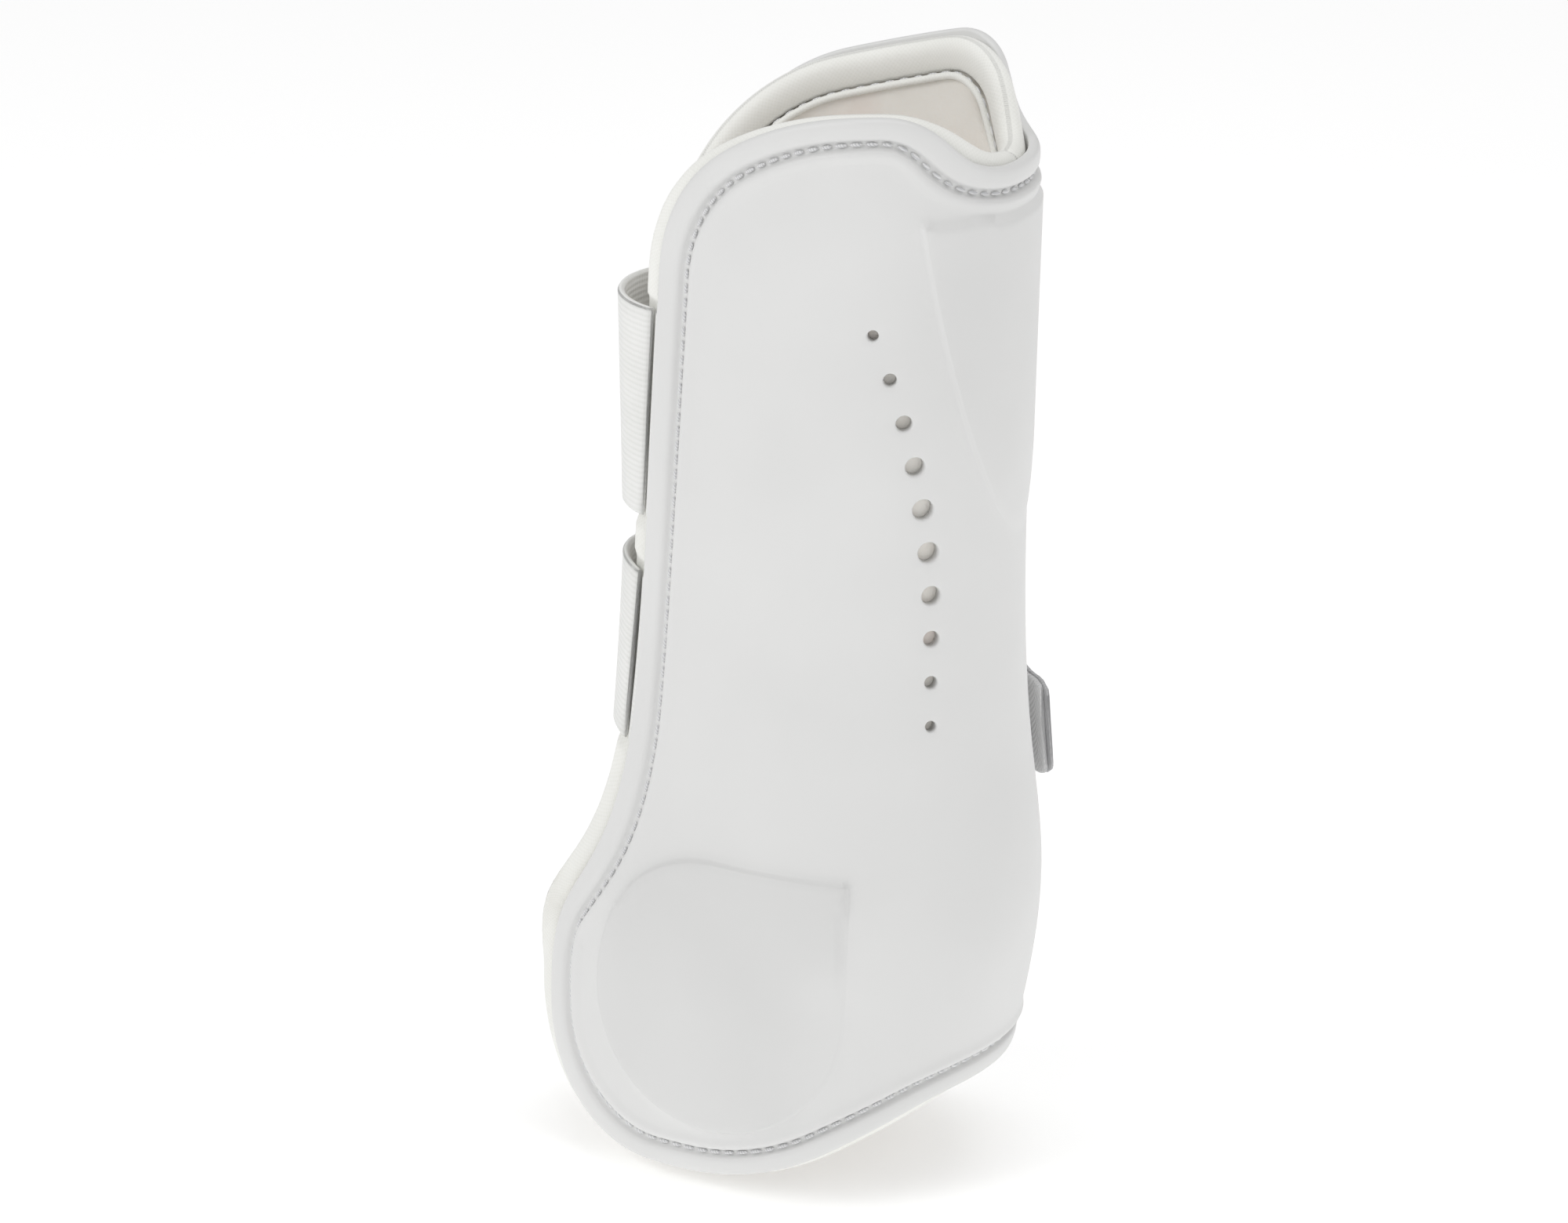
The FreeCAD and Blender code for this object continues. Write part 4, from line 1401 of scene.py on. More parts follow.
        def inner(index: int) -> int:
            """Corner number of an inner face's own corner."""
            return index if index < count else back_start + index - count

        faces += [tuple(inner(c) for c in reversed(tri)) for tri in back_tris]
        spots.append(back_spots[count:])
        offs.append(np.full(len(back_spots) - count, -self.wall))
        raised.append(np.zeros(len(back_spots) - count))
        total = back_start + len(back_spots) - count
        ring = len(circle)
        for number, (girth, z, radius) in enumerate(vents):
            top = [outer(count + number * ring + i) for i in range(ring)]
            bottom = [inner(count + number * ring + i) for i in range(ring)]
            previous = top
            for grow, level in ((0.2, -0.10), (0.0, -0.45)):
                spots.append(np.array([girth, z]) + circle * (radius + grow))
                offs.append(np.full(ring, level))
                raised.append(np.zeros(ring))
                here = [total + i for i in range(ring)]
                total += ring
                faces += [
                    (previous[i], here[i], here[(i + 1) % ring], previous[(i + 1) % ring])
                    for i in range(ring)
                ]
                previous = here
            faces += [
                (previous[i], bottom[i], bottom[(i + 1) % ring], previous[(i + 1) % ring])
                for i in range(ring)
            ]
        flat = np.vstack(spots)
        points = self.form.place(flat[:, 0], flat[:, 1], np.concatenate(offs))
        # The raised attribute holds painted shade, which the TPU material mixes into its colour.
        shell = make_piece("shell_moulding", points, faces, flat, {"raised": np.concatenate(raised)})
        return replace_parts(shell, "shell")

    def stitches(self, maker: NodeMaker) -> bpy.types.Object:
        """Sew the row of stitches that lies in the groove."""
        edge = Edge.around(self.form, self.outline, 0.0, 0.0, 0.0, 0.0, 1.2)
        line = edge.ring(self.stitch_depth, self.front_growth)
        path = line_piece("rim_line", self.form.place(line[:, 0], line[:, 1], self.stitch_level), True)
        sewn = maker.use(path, "rim_stitches", Pitch=0.0034, Stitch_Length=0.0026, Thread_Width=0.0009)
        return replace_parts(sewn, "rim_stitching")


# ---------------------------------------------------------------------------- liner


@dataclass
class PaddedLiner:
    """The padded liner: a pad inside the shell, a rolled edge all round it and a thin piping between."""

    form: LegForm
    outline: SideOutline
    bead_out: float = 2.4
    bead_forward: float = 1.0
    bead_down: float = 2.6
    roll_width: float = 8.5
    roll_level: float = -6.1
    roll_half_thick: float = 3.4
    roll_side_room: float = 0.35
    roll_face_room: float = 0.45
    roll_fill_reach: float = 0.8
    piping_radius: float = 0.85
    front_gap: float = 9.0
    pad_outer: float = -2.75
    pad_inner: float = -8.3
    pocket_level: float = -4.85
    pockets: list[tuple[Callable[[np.ndarray], np.ndarray], Callable[[np.ndarray], np.ndarray]]] = field(
        default_factory=list
    )

    def settle(self, girth: np.ndarray, z: np.ndarray, off: np.ndarray) -> np.ndarray:
        """Place soft goods, pressed in under the straps' sewn ends and kept off the boot's open front.

        Args:
            girth: Distance round from straight back.
            z: Heights.
            off: Distance outwards from the shell's face.

        Returns:
            One row per point.
        """
        spot = self.form.place(girth, z, 0.0)
        for level_mask, reach_mask in self.pockets:
            press = level_mask(spot) * reach_mask(spot)
            off = np.where(off > self.pocket_level, off + (self.pocket_level - off) * press, off)
        points = self.form.place(girth, z, off)
        least = self.front_gap / 2 + 0.25
        side = np.where(girth < 0, -1.0, 1.0)
        width = points[:, 1] * side
        ahead = points[:, 0] < 5.0
        soft = least + np.log1p(np.exp(np.clip((width - least) / 0.6, -30, 30))) * 0.6
        points[:, 1] = np.where(ahead & (width < least + 4), side * soft, points[:, 1])
        return points

    def edge(self, grow: float, off: float, step: float) -> Edge:
        """A line round the liner, which stands out of the shell at the front and below."""
        return Edge.around(self.form, self.outline, grow, self.bead_forward, self.bead_down, off, step)

    def tube(self, name: str, edge: Edge, section: Sequence[tuple[float, float]]) -> bpy.types.Object:
        """Sweep a section round an edge.

        Args:
            name: The piece's name.
            edge: The line it follows.
            section: Depth inwards and level of each corner of the section.

        Returns:
            The piece.
        """
        rings = np.stack([edge.ring(depth) for depth, _ in section], axis=1)
        levels = np.tile(np.array([level for _, level in section]), len(edge.spots))
        spots = rings.reshape(-1, 2)
        points = self.settle(spots[:, 0], spots[:, 1], levels)
        around = len(section)
        rows = len(edge.spots)
        gaps = np.linalg.norm(np.roll(edge.spots, -1, axis=0) - edge.spots, axis=1)
        along = np.concatenate([[0.0], np.cumsum(gaps)[:-1]])
        girth = np.concatenate([[0.0], np.cumsum([math.dist(a, b) for a, b in zip(section, section[1:])])])
        flat = np.stack([np.repeat(along, around), np.tile(girth, rows)], axis=1)
        return make_piece(name, points, ring_faces(rows, around, True), flat)

    def roll(self) -> bpy.types.Object:
        """The rolled edge, filled by pressure between its two seams."""
        edge = self.edge(self.bead_out, self.roll_level, 1.5)
        half = self.roll_width / 2
        section = []
        for turn in np.linspace(0.0, 2 * math.pi, 23)[:-1]:
            across, up = math.cos(turn), math.sin(turn)
            wide = math.copysign(abs(across) ** 0.85, across)
            tall = math.copysign(abs(up) ** 0.85, up)
            across_roll = half - wide * (half - self.roll_side_room)
            up_roll = self.roll_level + tall * (self.roll_half_thick - self.roll_face_room)
            section.append((across_roll, up_roll))
        piece = self.tube("rolled_edge_padding", edge, section)
        seams = [
            i for i, (depth, level) in enumerate(section) if depth > self.roll_width - 1.2 or level > -3.3
        ]
        around = len(section)
        held = [(row * around + i, 1.0) for row in range(len(edge.spots)) for i in seams]
        inflate(piece, held, pressure=3.0, frames=14, cap=self.roll_fill_reach)
        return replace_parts(piece, "rolled_edge")

    def piping(self) -> bpy.types.Object:
        """The thin corded piping along the roll's inner side."""
        edge = self.edge(self.bead_out, self.roll_level, 1.2)
        centre = self.roll_width + 0.2
        level = self.pad_inner - 0.65
        turns = np.linspace(0.0, 2 * math.pi, 11)[:-1]
        section = [
            (centre + self.piping_radius * math.cos(t), level + self.piping_radius * math.sin(t))
            for t in turns
        ]
        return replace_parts(self.tube("liner_piping", edge, section), "piping")

    def pad(self) -> bpy.types.Object:
        """The pad inside the shell: one closed form whose inner face is puffed a little between its edges."""
        edge = self.edge(self.bead_out - self.roll_width + 0.6, self.roll_level, 2.6)
        count = len(edge.spots)
        profile = (
            (1.6, self.pad_outer),
            (0.5, -3.1),
            (0.1, -4.2),
            (0.0, -5.4),
            (0.1, -6.6),
            (0.5, -7.6),
            (1.3, self.pad_inner),
        )
        spots = [edge.ring(depth) for depth, _ in profile]
        offs = [np.full(count, level) for _, level in profile]
        faces: list[tuple[int, ...]] = []
        for k in range(len(profile) - 1):
            for i in range(count):
                j = (i + 1) % count
                faces.append((k * count + i, k * count + j, (k + 1) * count + j, (k + 1) * count + i))
        inner_spots, inner_tris = fill(spots[-1], [], [], 3.2)
        outer_spots, outer_tris = fill(spots[0], [], [], 4.5)
        start = len(profile) * count
        faces += [tuple(start - count + c for c in reversed(tri)) for tri in inner_tris]
        spots.append(inner_spots[count:])
        near = KDTree(count)
        for i, p in enumerate(edge.spots):
            near.insert((p[0], p[1], 0.0), i)
        near.balance()
        depth = np.array([near.find((p[0], p[1], 0.0))[2] for p in inner_spots[count:]])
        swell = 0.75 * smooth_step(depth, 1.0, 22.0)
        ripple = 0.22 * np.sin(inner_spots[count:, 0] * 0.11 + 0.7)
        ripple = ripple * np.sin(inner_spots[count:, 1] * 0.083 + 0.4)
        offs.append(self.pad_inner - swell - ripple * smooth_step(depth, 4.0, 20.0))
        second = start + len(inner_spots) - count
        faces += [tuple(c if c < count else second + c - count for c in tri) for tri in outer_tris]
        spots.append(outer_spots[count:])
        offs.append(np.full(len(outer_spots) - count, self.pad_outer))
        flat = np.vstack(spots)
        points = self.settle(flat[:, 0], flat[:, 1], np.concatenate(offs))
        piece = make_piece("liner_pad", points, faces, flat)
        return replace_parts(piece, "foam_liner", "lining")

    def seam(self, maker: NodeMaker) -> bpy.types.Object:
        """Sew the row of small stitches between the roll and the piping."""
        edge = self.edge(self.bead_out, self.roll_level, 1.5)
        line = edge.ring(self.roll_width - 0.55)
        points = self.settle(line[:, 0], line[:, 1], np.full(len(line), self.pad_inner - 0.35))
        path = line_piece("seam_line", points, True)
        return maker.use(path, "liner_seam_stitches", Pitch=0.0034, Stitch_Length=0.0023, Thread_Width=0.0006)


def inflate(
    piece: bpy.types.Object, held: list[tuple[int, float]], pressure: float, frames: int, cap: float
) -> None:
    """Fill a closed fabric form by a short cloth simulation and keep the result.

    Args:
        piece: The piece, whose mesh is changed.
        held: Corner number and how firmly it is sewn down, from 0 to 1.
        pressure: Inside pressure.
        frames: How many frames it runs for.
        cap: The furthest that a corner may move, in mm.
    """
    rest = np.array([v.co for v in piece.data.vertices])
    group = piece.vertex_groups.new(name="sewn")
    for index, weight in held:
        group.add([index], weight, "REPLACE")
    cloth = piece.modifiers.new("fill", "CLOTH")
    cloth.settings.quality = 5
    cloth.settings.mass = 0.05
    cloth.settings.tension_stiffness = 12
    cloth.settings.compression_stiffness = 12
    cloth.settings.bending_stiffness = 0.3
    cloth.settings.effector_weights.gravity = 0.0
    cloth.settings.use_pressure = True
    cloth.settings.uniform_pressure_force = pressure
    cloth.settings.vertex_group_mass = group.name
    cloth.collision_settings.use_collision = False
    cloth.point_cache.frame_start = 1
    cloth.point_cache.frame_end = frames
    scene = bpy.context.scene
    for frame in range(1, frames + 1):
        scene.frame_set(frame)
    graph = bpy.context.evaluated_depsgraph_get()
    filled = np.array([v.co for v in piece.evaluated_get(graph).data.vertices])
    piece.modifiers.remove(cloth)
    piece.vertex_groups.remove(group)
    scene.frame_set(1)
    move = filled - rest
    far = np.linalg.norm(move, axis=1)
    limit = cap * MM
    scale = np.where(far > 1e-12, limit * np.tanh(far / limit) / np.maximum(far, 1e-12), 0.0)
    moved = rest + move * scale[:, None]
    if np.isfinite(moved).all():
        piece.data.vertices.foreach_set("co", moved.ravel())
        piece.data.update()
    LOG.info("%s filled, furthest move %.2f mm", piece.name, float(far.max()) / MM)


# ---------------------------------------------------------------------------- straps


# Stitches of the straps, in metres.
STRAP_STITCH = {"Pitch": 0.003, "Stitch_Length": 0.0025, "Thread_Width": 0.0006}


@dataclass
class Strap:
    """One elastic strap: sewn-in end, elastic round the front, webbing end that closes on a loop pad."""

    form: LegForm
    name: str
    width: float
    middle_z: float
    slope: float
    end_angle: float
    end_length: float
    hinge_foot: Vector
    hinge_axis: Vector
    strap_front: float = -36.0
    end_height: float = 24.0
    taper_length: float = 26.0
    elastic_thick: float = 1.6
    tab_thick: float = 1.2
    loop_pad_thick: float = 1.2
    leave_x: float = -17.0
    straight_run: float = 12.5
    anchor_length: float = 24.0
    anchor_gap: float = 1.1
    elastic_end_x: float = -2.0
    peel_x: float = -1.0
    patch_front_x: float = -16.5
    loop_pad_front_x: float = -6.0
    loop_pad_margin: float = 2.0
    layer_gap: float = 0.1
    strap_gap: float = 0.35
    wall: float = 2.6
    tip_round: float = 3.2
    tip_even: float = 5.0

    @property
    def low(self) -> float:
        """Inner face of the elastic, off the shell."""
        return self.layer_gap + self.loop_pad_thick + self.strap_gap

    @property
    def high(self) -> float:
        """Outer face of the elastic, off the shell."""
        return self.low + self.elastic_thick

    @property
    def middle(self) -> float:
        """Middle of the elastic, off the shell."""
        return self.low + self.elastic_thick / 2

    def hinge_at(self, z: float) -> tuple[float, float]:
        """X and Y of the hinge line at a height."""
        spot = self.hinge_foot + self.hinge_axis * ((z - self.hinge_foot.z) / self.hinge_axis.z)
        return spot.x, spot.y

    def runs(self, z: float) -> list[float]:
        """Length of each run of the strap.

        Args:
            z: Height.

        Returns:
            Arc round the front, straight, side, back and straight end.
        """
        centre, half = (float(v) for v in self.form.section(z))
        leave = math.asin((self.leave_x - centre) / (self.form.side_radius + self.middle))
        turn, radius = self.loop(z)[2:4]
        side = (self.form.side_radius + self.middle) * -leave
        back = (half + self.middle) * math.radians(90.0 - self.end_angle)
        return [abs(2 * turn * radius), self.straight_run, side, back, self.end_length]

    def loop(self, z: float) -> tuple[tuple[float, float], tuple[float, float], float, float]:
        """The arc round the front.

        Args:
            z: Height.

        Returns:
            Its centre, first spoke, half turn and radius.
        """
        centre, half = (float(v) for v in self.form.section(z))
        side = self.form.side_radius
        leave = math.asin((self.leave_x - centre) / (side + self.middle))
        heading = (-math.cos(leave), math.sin(leave))
        inward = (-heading[1], heading[0])
        start_x = centre + (side + self.middle) * math.sin(leave) + heading[0] * self.straight_run
        start_y = half - side + (side + self.middle) * math.cos(leave) + heading[1] * self.straight_run
        hinge_x, hinge_y = self.hinge_at(z)
        cx, cy = hinge_x - start_x, hinge_y - start_y
        turn = math.atan2(heading[0] * cy - heading[1] * cx, heading[0] * cx + heading[1] * cy)
        radius = math.hypot(cx, cy) / (2 * math.sin(turn))
        middle = (start_x + inward[0] * radius, start_y + inward[1] * radius)
        return middle, (-inward[0], -inward[1]), turn, radius

    def plan(self, run: int, share: float, z: float, off: float) -> tuple[float, float]:
        """X and Y of a place on the strap.

        Args:
            run: Which run, or -1 for the sewn-in end, where share is the distance behind the hinge.
            share: How far along the run, from 0 to 1.
            z: Height.
            off: Distance off the shell's face.

        Returns:
            X and Y.
        """
        centre, half = (float(v) for v in self.form.section(z))
        side = self.form.side_radius
        if run < 0:
            x = self.hinge_at(z)[0] + share
            return x, side - half - math.sqrt((side + off) ** 2 - (x - centre) ** 2)
        leave = math.asin((self.leave_x - centre) / (side + self.middle))
        if run == 0:
            (mx, my), (sx, sy), turn, radius = self.loop(z)
            angle = 2 * turn * (1.0 - share)
            reach = radius + off - self.middle
            return (
                mx + reach * (sx * math.cos(angle) - sy * math.sin(angle)),
                my + reach * (sx * math.sin(angle) + sy * math.cos(angle)),
            )
        if run == 1:
            ahead = self.straight_run * (1.0 - share)
            x = centre + (side + off) * math.sin(leave) - math.cos(leave) * ahead
            return x, half - side + (side + off) * math.cos(leave) + math.sin(leave) * ahead
        if run == 2:
            angle = leave * (1.0 - share)
            return centre + (side + off) * math.sin(angle), half - side + (side + off) * math.cos(angle)
        last = math.radians(self.end_angle)
        if run == 3:
            angle = math.pi / 2 + (last - math.pi / 2) * share
            return centre + (half + off) * math.cos(angle), (half + off) * math.sin(angle)
        away = self.end_length * share
        return (
            centre + (half + off) * math.cos(last) + away * math.sin(last),
            (half + off) * math.sin(last) - away * math.cos(last),
        )

    def locate(self, at: float) -> tuple[int, float]:
        """Find the run that a place lies on.

        Args:
            at: Distance along the strap from its hinge, negative for the sewn-in end.

        Returns:
            The run and how far along it, as plan() takes them.
        """
        if at < 0:
            return -1, -at
        for run, length in enumerate(self.runs(self.middle_z)):
            if at <= length:
                return run, at / length
            at -= length
        return 4, 1.0

    def spot(self, at: float, rise: float, off: float) -> tuple[float, float, float]:
        """Point on the strap.

        Args:
            at: Distance along it from the hinge, negative for the sewn-in end.
            rise: Height above its middle line.
            off: Distance off the shell's face.

        Returns:
            The point.
        """
        run, share = self.locate(at)
        z = self.middle_z + rise
        x = y = 0.0
        for _ in range(3):
            x, y = self.plan(run, share, z, off)
            z = self.middle_z - self.slope * (x - self.strap_front) + rise
        return x, y, z

    def at_x(self, x: float) -> float:
        """Distance along the strap of an X on the outside wall."""
        runs = self.runs(self.middle_z)
        centre = float(self.form.section(self.middle_z)[0])
        angle = math.asin((x - centre) / (self.form.side_radius + self.middle))
        return runs[0] + runs[1] + runs[2] + angle * (self.form.side_radius + self.middle)

    @property
    def whole(self) -> float:
        """Length from the hinge to the tip."""
        return sum(self.runs(self.middle_z))

    def even_width(self, _: float) -> float:
        """Half the strap's height where it doesn't narrow."""
        return self.width / 2

    def half_width(self, at: float, margin: float = 0.0, last: float | None = None) -> float:
        """Half the strap's height at a distance along it, narrowing to a rounded tip.

        Args:
            at: Distance along it from the hinge.
            margin: Added to the half height.
            last: Where the tip is, if not at the strap's own end.

        Returns:
            Half its height.
        """
        full = self.width / 2 + margin
        last = self.whole if last is None else last
        gone = (at - self.whole + self.taper_length) / (self.taper_length - self.tip_even)
        taper = float(np.clip(gone, 0.0, 1.0))
        half = full + (self.end_height / 2 + margin - full) * taper
        left = last - at
        if left < self.tip_round:
            cut = self.tip_round - math.sqrt(max(0.0, self.tip_round**2 - (self.tip_round - left) ** 2))
            half -= min(cut, half * 0.8)
        return half

    def strip(
        self, piece: str, first: float, last: float, low: float, high: float, half: Callable[[float], float],
        step: float = 1.3,
    ) -> bpy.types.Object:
        """A strip of tape that lies along the strap.

        Args:
            piece: The piece's name after the strap's.
            first: Where it starts.
            last: Where it ends.
            low: Its inner face, off the shell.
            high: Its outer face, off the shell.
            half: Half height at a distance along.
            step: Spacing along it.

        Returns:
            The piece.
        """
        columns = list(np.arange(first, last, step))
        ends = [last - gap for gap in (2.4, 1.2, 0.5, 0.15) if last - gap > columns[-1]]
        columns = [c for c in columns if c < last - 0.05] + ends + [last]
        thick = high - low
        across = np.linspace(1.0, -1.0, 15)
        points, flat = [], []
        around = 0
        for at in columns:
            w = half(at)
            inset = min(thick * 0.45, w * 0.4)
            end_gap = min(at - first, last - at)
            thin = thick * 0.18 * (1.0 - min(1.0, end_gap / 0.5))
            top = [(v * (w - inset), high - thin) for v in across]
            bottom = [(-v * (w - inset), low + thin) for v in across]
            middle = (low + high) / 2
            side, upper, lower = w - inset * 0.3, high - thin - thick * 0.18, low + thin + thick * 0.18
            fall = [(-side, upper), (-w, middle), (-side, lower)]
            rise = [(side, lower), (w, middle), (side, upper)]
            loop = top + fall + bottom + rise
            around = len(loop)
            girth = 0.0
            old = loop[0]
            for v, off in loop:
                points.append(self.spot(at, v, off))
                girth += math.dist(old, (v, off))
                old = (v, off)
                flat.append((at, girth))
        faces = ring_faces(len(columns), around, False)
        return make_piece(f"{self.name}_{piece}", np.array(points), faces, np.array(flat))

    def build(self, maker: NodeMaker, hooks: NodeMaker) -> list[tuple[bpy.types.Object, str, Finish, str]]:
        """Make every piece of the strap.

        Args:
            maker: The stitch tree.
            hooks: The hook tree.

        Returns:
            Each piece with the body that it rides on, its finish and its slot. An empty body means that it
            rides on no body.
        """
        boot, strap, end = "boot", f"{self.name}_strap", f"{self.name}_strap_end"
        pad_high = self.layer_gap + self.loop_pad_thick
        tab_low = self.high + self.layer_gap
        tab_high = tab_low + self.tab_thick
        full = self.whole
        runs = self.runs(self.middle_z)
        tail_high = -self.wall - self.layer_gap
        tail_low = tail_high - self.elastic_thick
        out: list[tuple[bpy.types.Object, str, Finish, str]] = []

        anchor = self.strip(
            "anchor_tail", -self.anchor_length, -self.anchor_gap, tail_low, tail_high, self.even_width
        )
        out.append((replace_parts(anchor, f"{self.name}_anchor"), boot, ELASTIC, "elastic"))
        elastic_end = self.at_x(self.elastic_end_x)
        elastic = self.strip("elastic_band", 0.05, elastic_end, self.low, self.high, self.even_width)
        out.append((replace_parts(elastic, f"{self.name}_elastic"), strap, ELASTIC, "elastic"))
        patch_front = self.at_x(self.patch_front_x)
        # The webbing cover's grey is painted shade.
        cover = self.strip("webbing_cover", patch_front, full, tab_low, tab_high, self.half_width)
        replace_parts(cover, f"{self.name}_seam_patch", f"{self.name}_tab")
        out.append((cover, "", WEBBING_SHADE_GREY, "webbing"))
        hook_front = self.at_x(self.peel_x + 1.0)
        hook = self.strip("hook_tape", hook_front, full - 0.6, self.low, self.high, self.half_width)
        out.append((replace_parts(hook, f"{self.name}_hook_pad"), end, HOOK_TAPE, "hook"))
        pad_last = sum(runs[:3]) + (runs[3] * (90.0 - self.end_angle + 4.0) / (90.0 - self.end_angle))
        pad_last = min(pad_last, sum(runs[:4]))
        pad = self.strip(
            "loop_tape",
            self.at_x(self.loop_pad_front_x),
            pad_last,
            self.layer_gap,
            pad_high,
            partial(self.half_width, margin=self.loop_pad_margin, last=pad_last),
        )
        out.append((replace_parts(pad, f"{self.name}_loop_pad"), boot, LOOP_TAPE, "loop"))

        seam_end = self.at_x(self.elastic_end_x - 2.5)
        box = self.box_line(patch_front + 1.8, seam_end - 0.4, self.width / 2 - 2.4, tab_high + 0.05)
        cross = self.cross_lines(patch_front + 1.8, seam_end - 0.4, self.width / 2 - 2.4, tab_high + 0.05)
        sewn = join_lines([box, *cross])
        stitches = maker.use(sewn, f"{self.name}_seam_stitches", **STRAP_STITCH)
        out.append((stitches, strap, SEWING_THREAD, "thread"))
        border = self.border_line(self.at_x(self.peel_x) + 2.4, full - 2.2, tab_high + 0.05)
        edging = maker.use(border, f"{self.name}_end_stitches", **STRAP_STITCH)
        out.append((edging, end, SEWING_THREAD, "thread"))
        field_piece = self.hook_ground(self.at_x(self.peel_x) + 3.0, full - 3.0)
        bristles = hooks.use(field_piece, f"{self.name}_hooks", Spacing=0.0021, Hook_Height=0.0003)
        out.append((bristles, end, HOOK_TAPE, "hook"))
        return out

    def box_line(self, first: float, last: float, half: float, off: float) -> bpy.types.Object:
        """A closed oblong line on the strap."""
        corners = [(first, half), (last, half), (last, -half), (first, -half)]
        line = even(np.array(corners, float), 1.0, True)
        return line_piece("box_line", np.array([self.spot(a, v, off) for a, v in line]), True)

    def cross_lines(self, first: float, last: float, half: float, off: float) -> list[bpy.types.Object]:
        """Two lines that cross the oblong from corner to corner."""
        made = []
        for sign in (1.0, -1.0):
            line = even(np.array([(first, sign * half), (last, -sign * half)], float), 1.0, False)
            made.append(line_piece("cross_line", np.array([self.spot(a, v, off) for a, v in line]), False))
        return made

    def border_line(self, first: float, last: float, off: float) -> bpy.types.Object:
        """A closed line just inside the webbing end's edge."""
        ats = np.arange(first, last, 1.5)
        upper = [(a, self.half_width(float(a)) - 2.0) for a in ats]
        lower = [(a, -(self.half_width(float(a)) - 2.0)) for a in ats[::-1]]
        line = even(np.array(upper + lower, float), 1.0, True)
        return line_piece("border_line", np.array([self.spot(a, v, off) for a, v in line]), True)

    def hook_ground(self, first: float, last: float) -> bpy.types.Object:
        """The inward face that the hooks stand on.

        Args:
            first: Where it starts along the strap.
            last: Where it ends.

        Returns:
            The face's object, which the hooks replace.
        """
        ats = np.arange(first, last, 2.0)
        shares = np.linspace(-1.0, 1.0, 9)
        points = [
            self.spot(a, v * (self.half_width(float(a)) - 2.5), self.low - 0.12) for a in ats for v in shares
        ]
        mesh = bpy.data.meshes.new("hook_ground")
        faces = []
        for i in range(len(ats) - 1):
            for j in range(len(shares) - 1):
                a = i * len(shares) + j
                b = a + len(shares)
                faces.append((a, b, b + 1, a + 1))
        mesh.from_pydata((np.array(points) * MM).tolist(), [], faces)
        made = bpy.data.objects.new("hook_ground", mesh)
        bpy.context.scene.collection.objects.link(made)
        return made

    def peel_line(self, joints: list[dict]) -> tuple[Vector, Vector]:
        """Middle of the line that the end peels about, and the way along the strap square to it.

        Args:
            joints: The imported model's joints.

        Returns:
            The point and the unit direction.
        """
        joint = next(j for j in joints if j["name"] == f"{self.name}_end_peel")
        axis = Vector(joint["axis"]).normalized()
        near = Vector(self.spot(self.at_x(self.peel_x - 2.0), 0.0, self.high))
        far = Vector(self.spot(self.at_x(self.peel_x + 2.0), 0.0, self.high))
        away = far - near
        away -= axis * away.dot(axis)
        return Vector(joint["pos_m"]) / MM, away.normalized()

    def pocket(self) -> tuple[Callable[[np.ndarray], np.ndarray], Callable[[np.ndarray], np.ndarray]]:
        """Where the sewn-in end presses the liner: one mask by height and one by distance from the hinge."""
        half = self.width / 2 + 0.5

        def by_height(points: np.ndarray) -> np.ndarray:
            """Share of the press by height over the strap's middle."""
            rise = points[:, 2] - (self.middle_z - self.slope * (points[:, 0] - self.strap_front))
            return 1.0 - smooth_step(np.abs(rise), half, half + 2.5)

        def by_reach(points: np.ndarray) -> np.ndarray:
            """Share of the press by distance behind the hinge."""
            climb = points[:, 2] - self.hinge_foot.z
            hinge_x = self.hinge_foot.x + climb * self.hinge_axis.x / self.hinge_axis.z
            behind = points[:, 0] - hinge_x
            near = (points[:, 1] < 0).astype(float)
            return near * (1.0 - smooth_step(behind, self.anchor_length + 0.5, self.anchor_length + 4.0))

        return by_height, by_reach


# ---------------------------------------------------------------------------- studio


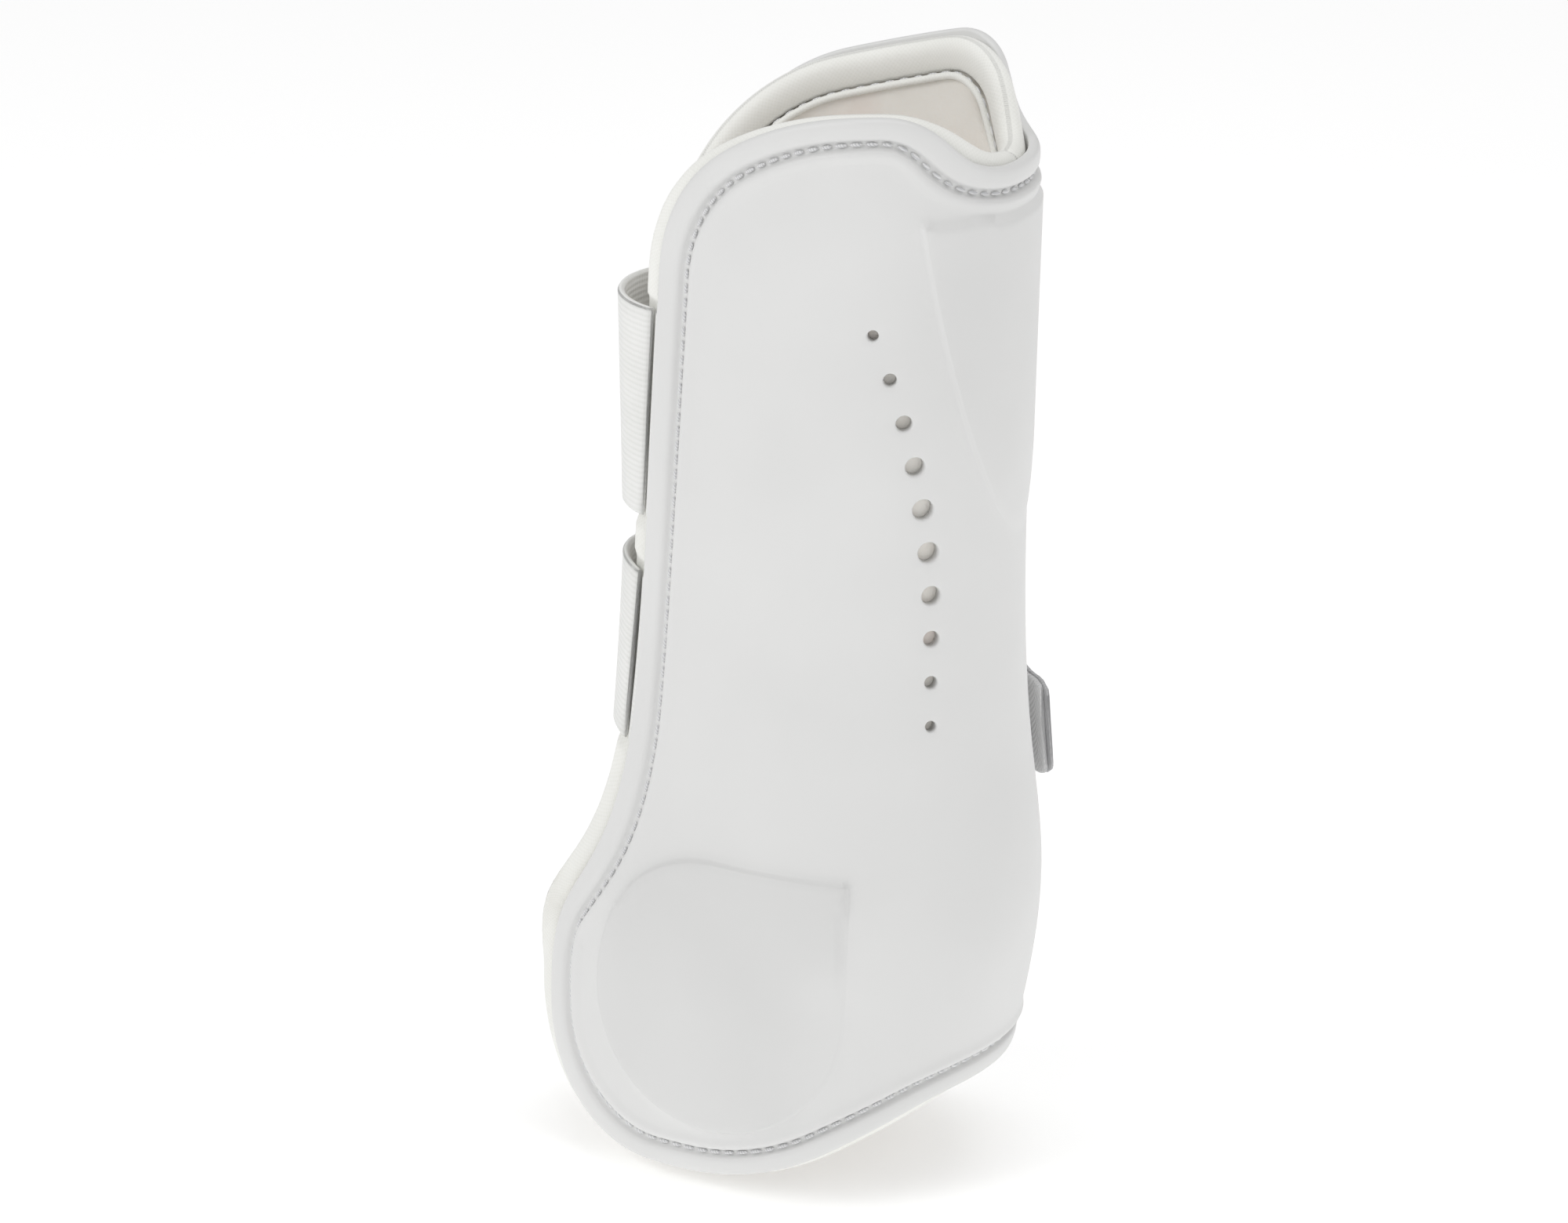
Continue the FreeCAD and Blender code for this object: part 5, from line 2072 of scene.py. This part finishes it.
@dataclass
class Studio:
    """White paper, soft even light and the camera."""

    azimuth: float = 19.5
    elevation: float = 20.0
    distance: float = 2.0
    aim_height: float = 0.122
    view_width: float = 0.350
    air_light: float = 0.46

    def build(self, floor_z: float) -> None:
        """Set out the floor, the lights and the camera.

        Args:
            floor_z: Height of the paper.
        """
        mesh = bpy.data.meshes.new("paper_floor")
        size = 6.0
        mesh.from_pydata(
            [(-size, -size, floor_z), (size, -size, floor_z), (size, size, floor_z), (-size, size, floor_z)],
            [],
            [(0, 1, 2, 3)],
        )
        floor = bpy.data.objects.new("paper_floor", mesh)
        bpy.context.scene.collection.objects.link(floor)
        mesh.materials.append(PAPER.material())
        floor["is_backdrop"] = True
        world = bpy.data.worlds.new("studio_air")
        world.use_nodes = True
        world.node_tree.nodes["Background"].inputs["Color"].default_value = (1.0, 1.0, 1.0, 1.0)
        world.node_tree.nodes["Background"].inputs["Strength"].default_value = self.air_light
        bpy.context.scene.world = world
        bpy.context.scene.view_settings.view_transform = "Standard"
        self.softbox("front_softbox", (-1.1, -1.2, 1.2), 1.0, 8.6)
        self.softbox("top_softbox", (0.2, 0.1, 1.8), 1.4, 8.0)
        self.softbox("back_softbox", (1.5, -0.5, 0.9), 1.2, 3.4)
        camera = bpy.data.objects.new("camera", bpy.data.cameras.new("camera"))
        bpy.context.scene.collection.objects.link(camera)
        a, e = math.radians(self.azimuth), math.radians(self.elevation)
        back = Vector((math.sin(a) * math.cos(e), -math.cos(a) * math.cos(e), math.sin(e)))
        camera.location = Vector((0.0, 0.0, self.aim_height)) + back * self.distance
        camera.rotation_mode = "QUATERNION"
        camera.rotation_quaternion = (-back).to_track_quat("-Z", "Y")
        camera.data.sensor_width = 36.0
        camera.data.lens = 36.0 * self.distance / self.view_width
        camera.data.clip_start = 0.05
        camera.data.clip_end = 50.0
        bpy.context.scene.camera = camera

    def softbox(self, name: str, place: tuple[float, float, float], size: float, power: float) -> None:
        """One square softbox that faces the boot.

        Args:
            name: Its name.
            place: Where it stands, in metres.
            size: Its side, in metres.
            power: Watts.
        """
        lamp = bpy.data.lights.new(name, "AREA")
        lamp.size = size
        lamp.energy = power
        made = bpy.data.objects.new(name, lamp)
        bpy.context.scene.collection.objects.link(made)
        made.location = place
        aim = Vector((0.0, 0.0, self.aim_height)) - Vector(place)
        made.rotation_mode = "QUATERNION"
        made.rotation_quaternion = aim.to_track_quat("-Z", "Y")


# ---------------------------------------------------------------------------- the whole boot


@dataclass
class TendonBoot:
    """The whole boot, from its form to its last stitch."""

    form: LegForm = field(default_factory=LegForm)
    outline: SideOutline = field(default_factory=SideOutline)
    materials: dict[str, bpy.types.Material] = field(default_factory=dict)

    def dress(self, piece: bpy.types.Object, body: str, finish: Finish) -> None:
        """Give a piece its material and its body.

        Args:
            piece: The piece.
            body: Body that it rides on; empty if it rides on none.
            finish: Its finish.
        """
        if finish.name not in self.materials:
            self.materials[finish.name] = finish.material()
        piece.data.materials.clear()
        piece.data.materials.append(self.materials[finish.name])
        if body:
            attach(piece, body)
        LOG.info("%s: %d faces, %s", piece.name, len(piece.data.polygons), body or "blended")

    def straps(self, joints: list[dict]) -> list[Strap]:
        """Both straps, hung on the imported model's hinges.

        Args:
            joints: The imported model's joints.

        Returns:
            The straps.
        """
        hinges = {joint["name"]: joint for joint in joints}
        sizes = {
            "upper": {"width": 50.0, "middle_z": 170.0, "slope": 0.02, "end_angle": 84.0, "end_length": 12.0},
            "lower": {"width": 41.0, "middle_z": 112.5, "slope": 0.24, "end_angle": 62.0, "end_length": 15.5},
        }
        made = []
        for name, size in sizes.items():
            hinge = hinges[f"{name}_strap_swing"]
            foot = Vector(hinge["pos_m"]) / MM
            axis = Vector(hinge["axis"]).normalized()
            made.append(Strap(self.form, name, **size, hinge_foot=foot, hinge_axis=axis))
        return made

    def build(self, frame: dict) -> None:
        """Build and dress every piece.
        """
        self.materials[SEWING_THREAD.name] = SEWING_THREAD.material()
        self.materials[HOOK_TAPE.name] = HOOK_TAPE.material()
        maker = stitch_maker(self.materials[SEWING_THREAD.name])
        hooks = hook_maker(self.materials[HOOK_TAPE.name])
        straps = self.straps(frame["joints"])
        shell = ShellMoulding(self.form, self.outline)
        self.dress(shell.build(), "boot", TPU)
        self.dress(shell.stitches(maker), "boot", SEWING_THREAD)
        liner = PaddedLiner(self.form, self.outline, pockets=[strap.pocket() for strap in straps])
        self.dress(liner.pad(), "boot", LINING)
        self.dress(liner.roll(), "boot", BINDING)
        self.dress(liner.piping(), "boot", BINDING)
        self.dress(liner.seam(maker), "boot", SEWING_THREAD)
        for strap in straps:
            for piece, body, finish, slot in strap.build(maker, hooks):
                self.dress(piece, body, finish)
                if not body:
                    foot, away = strap.peel_line(frame["joints"])
                    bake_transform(piece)


def main() -> None:
    """Load the frame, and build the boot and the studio."""
    logging.basicConfig(level=logging.INFO, format="%(name)s %(message)s")
    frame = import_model()
    cad = [list(corner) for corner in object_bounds()]
    TendonBoot().build(frame)
    Studio().build(floor_z=min(cad[0][2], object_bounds()[0].z) - 0.0005)


if __name__ == "__main__":
    main()
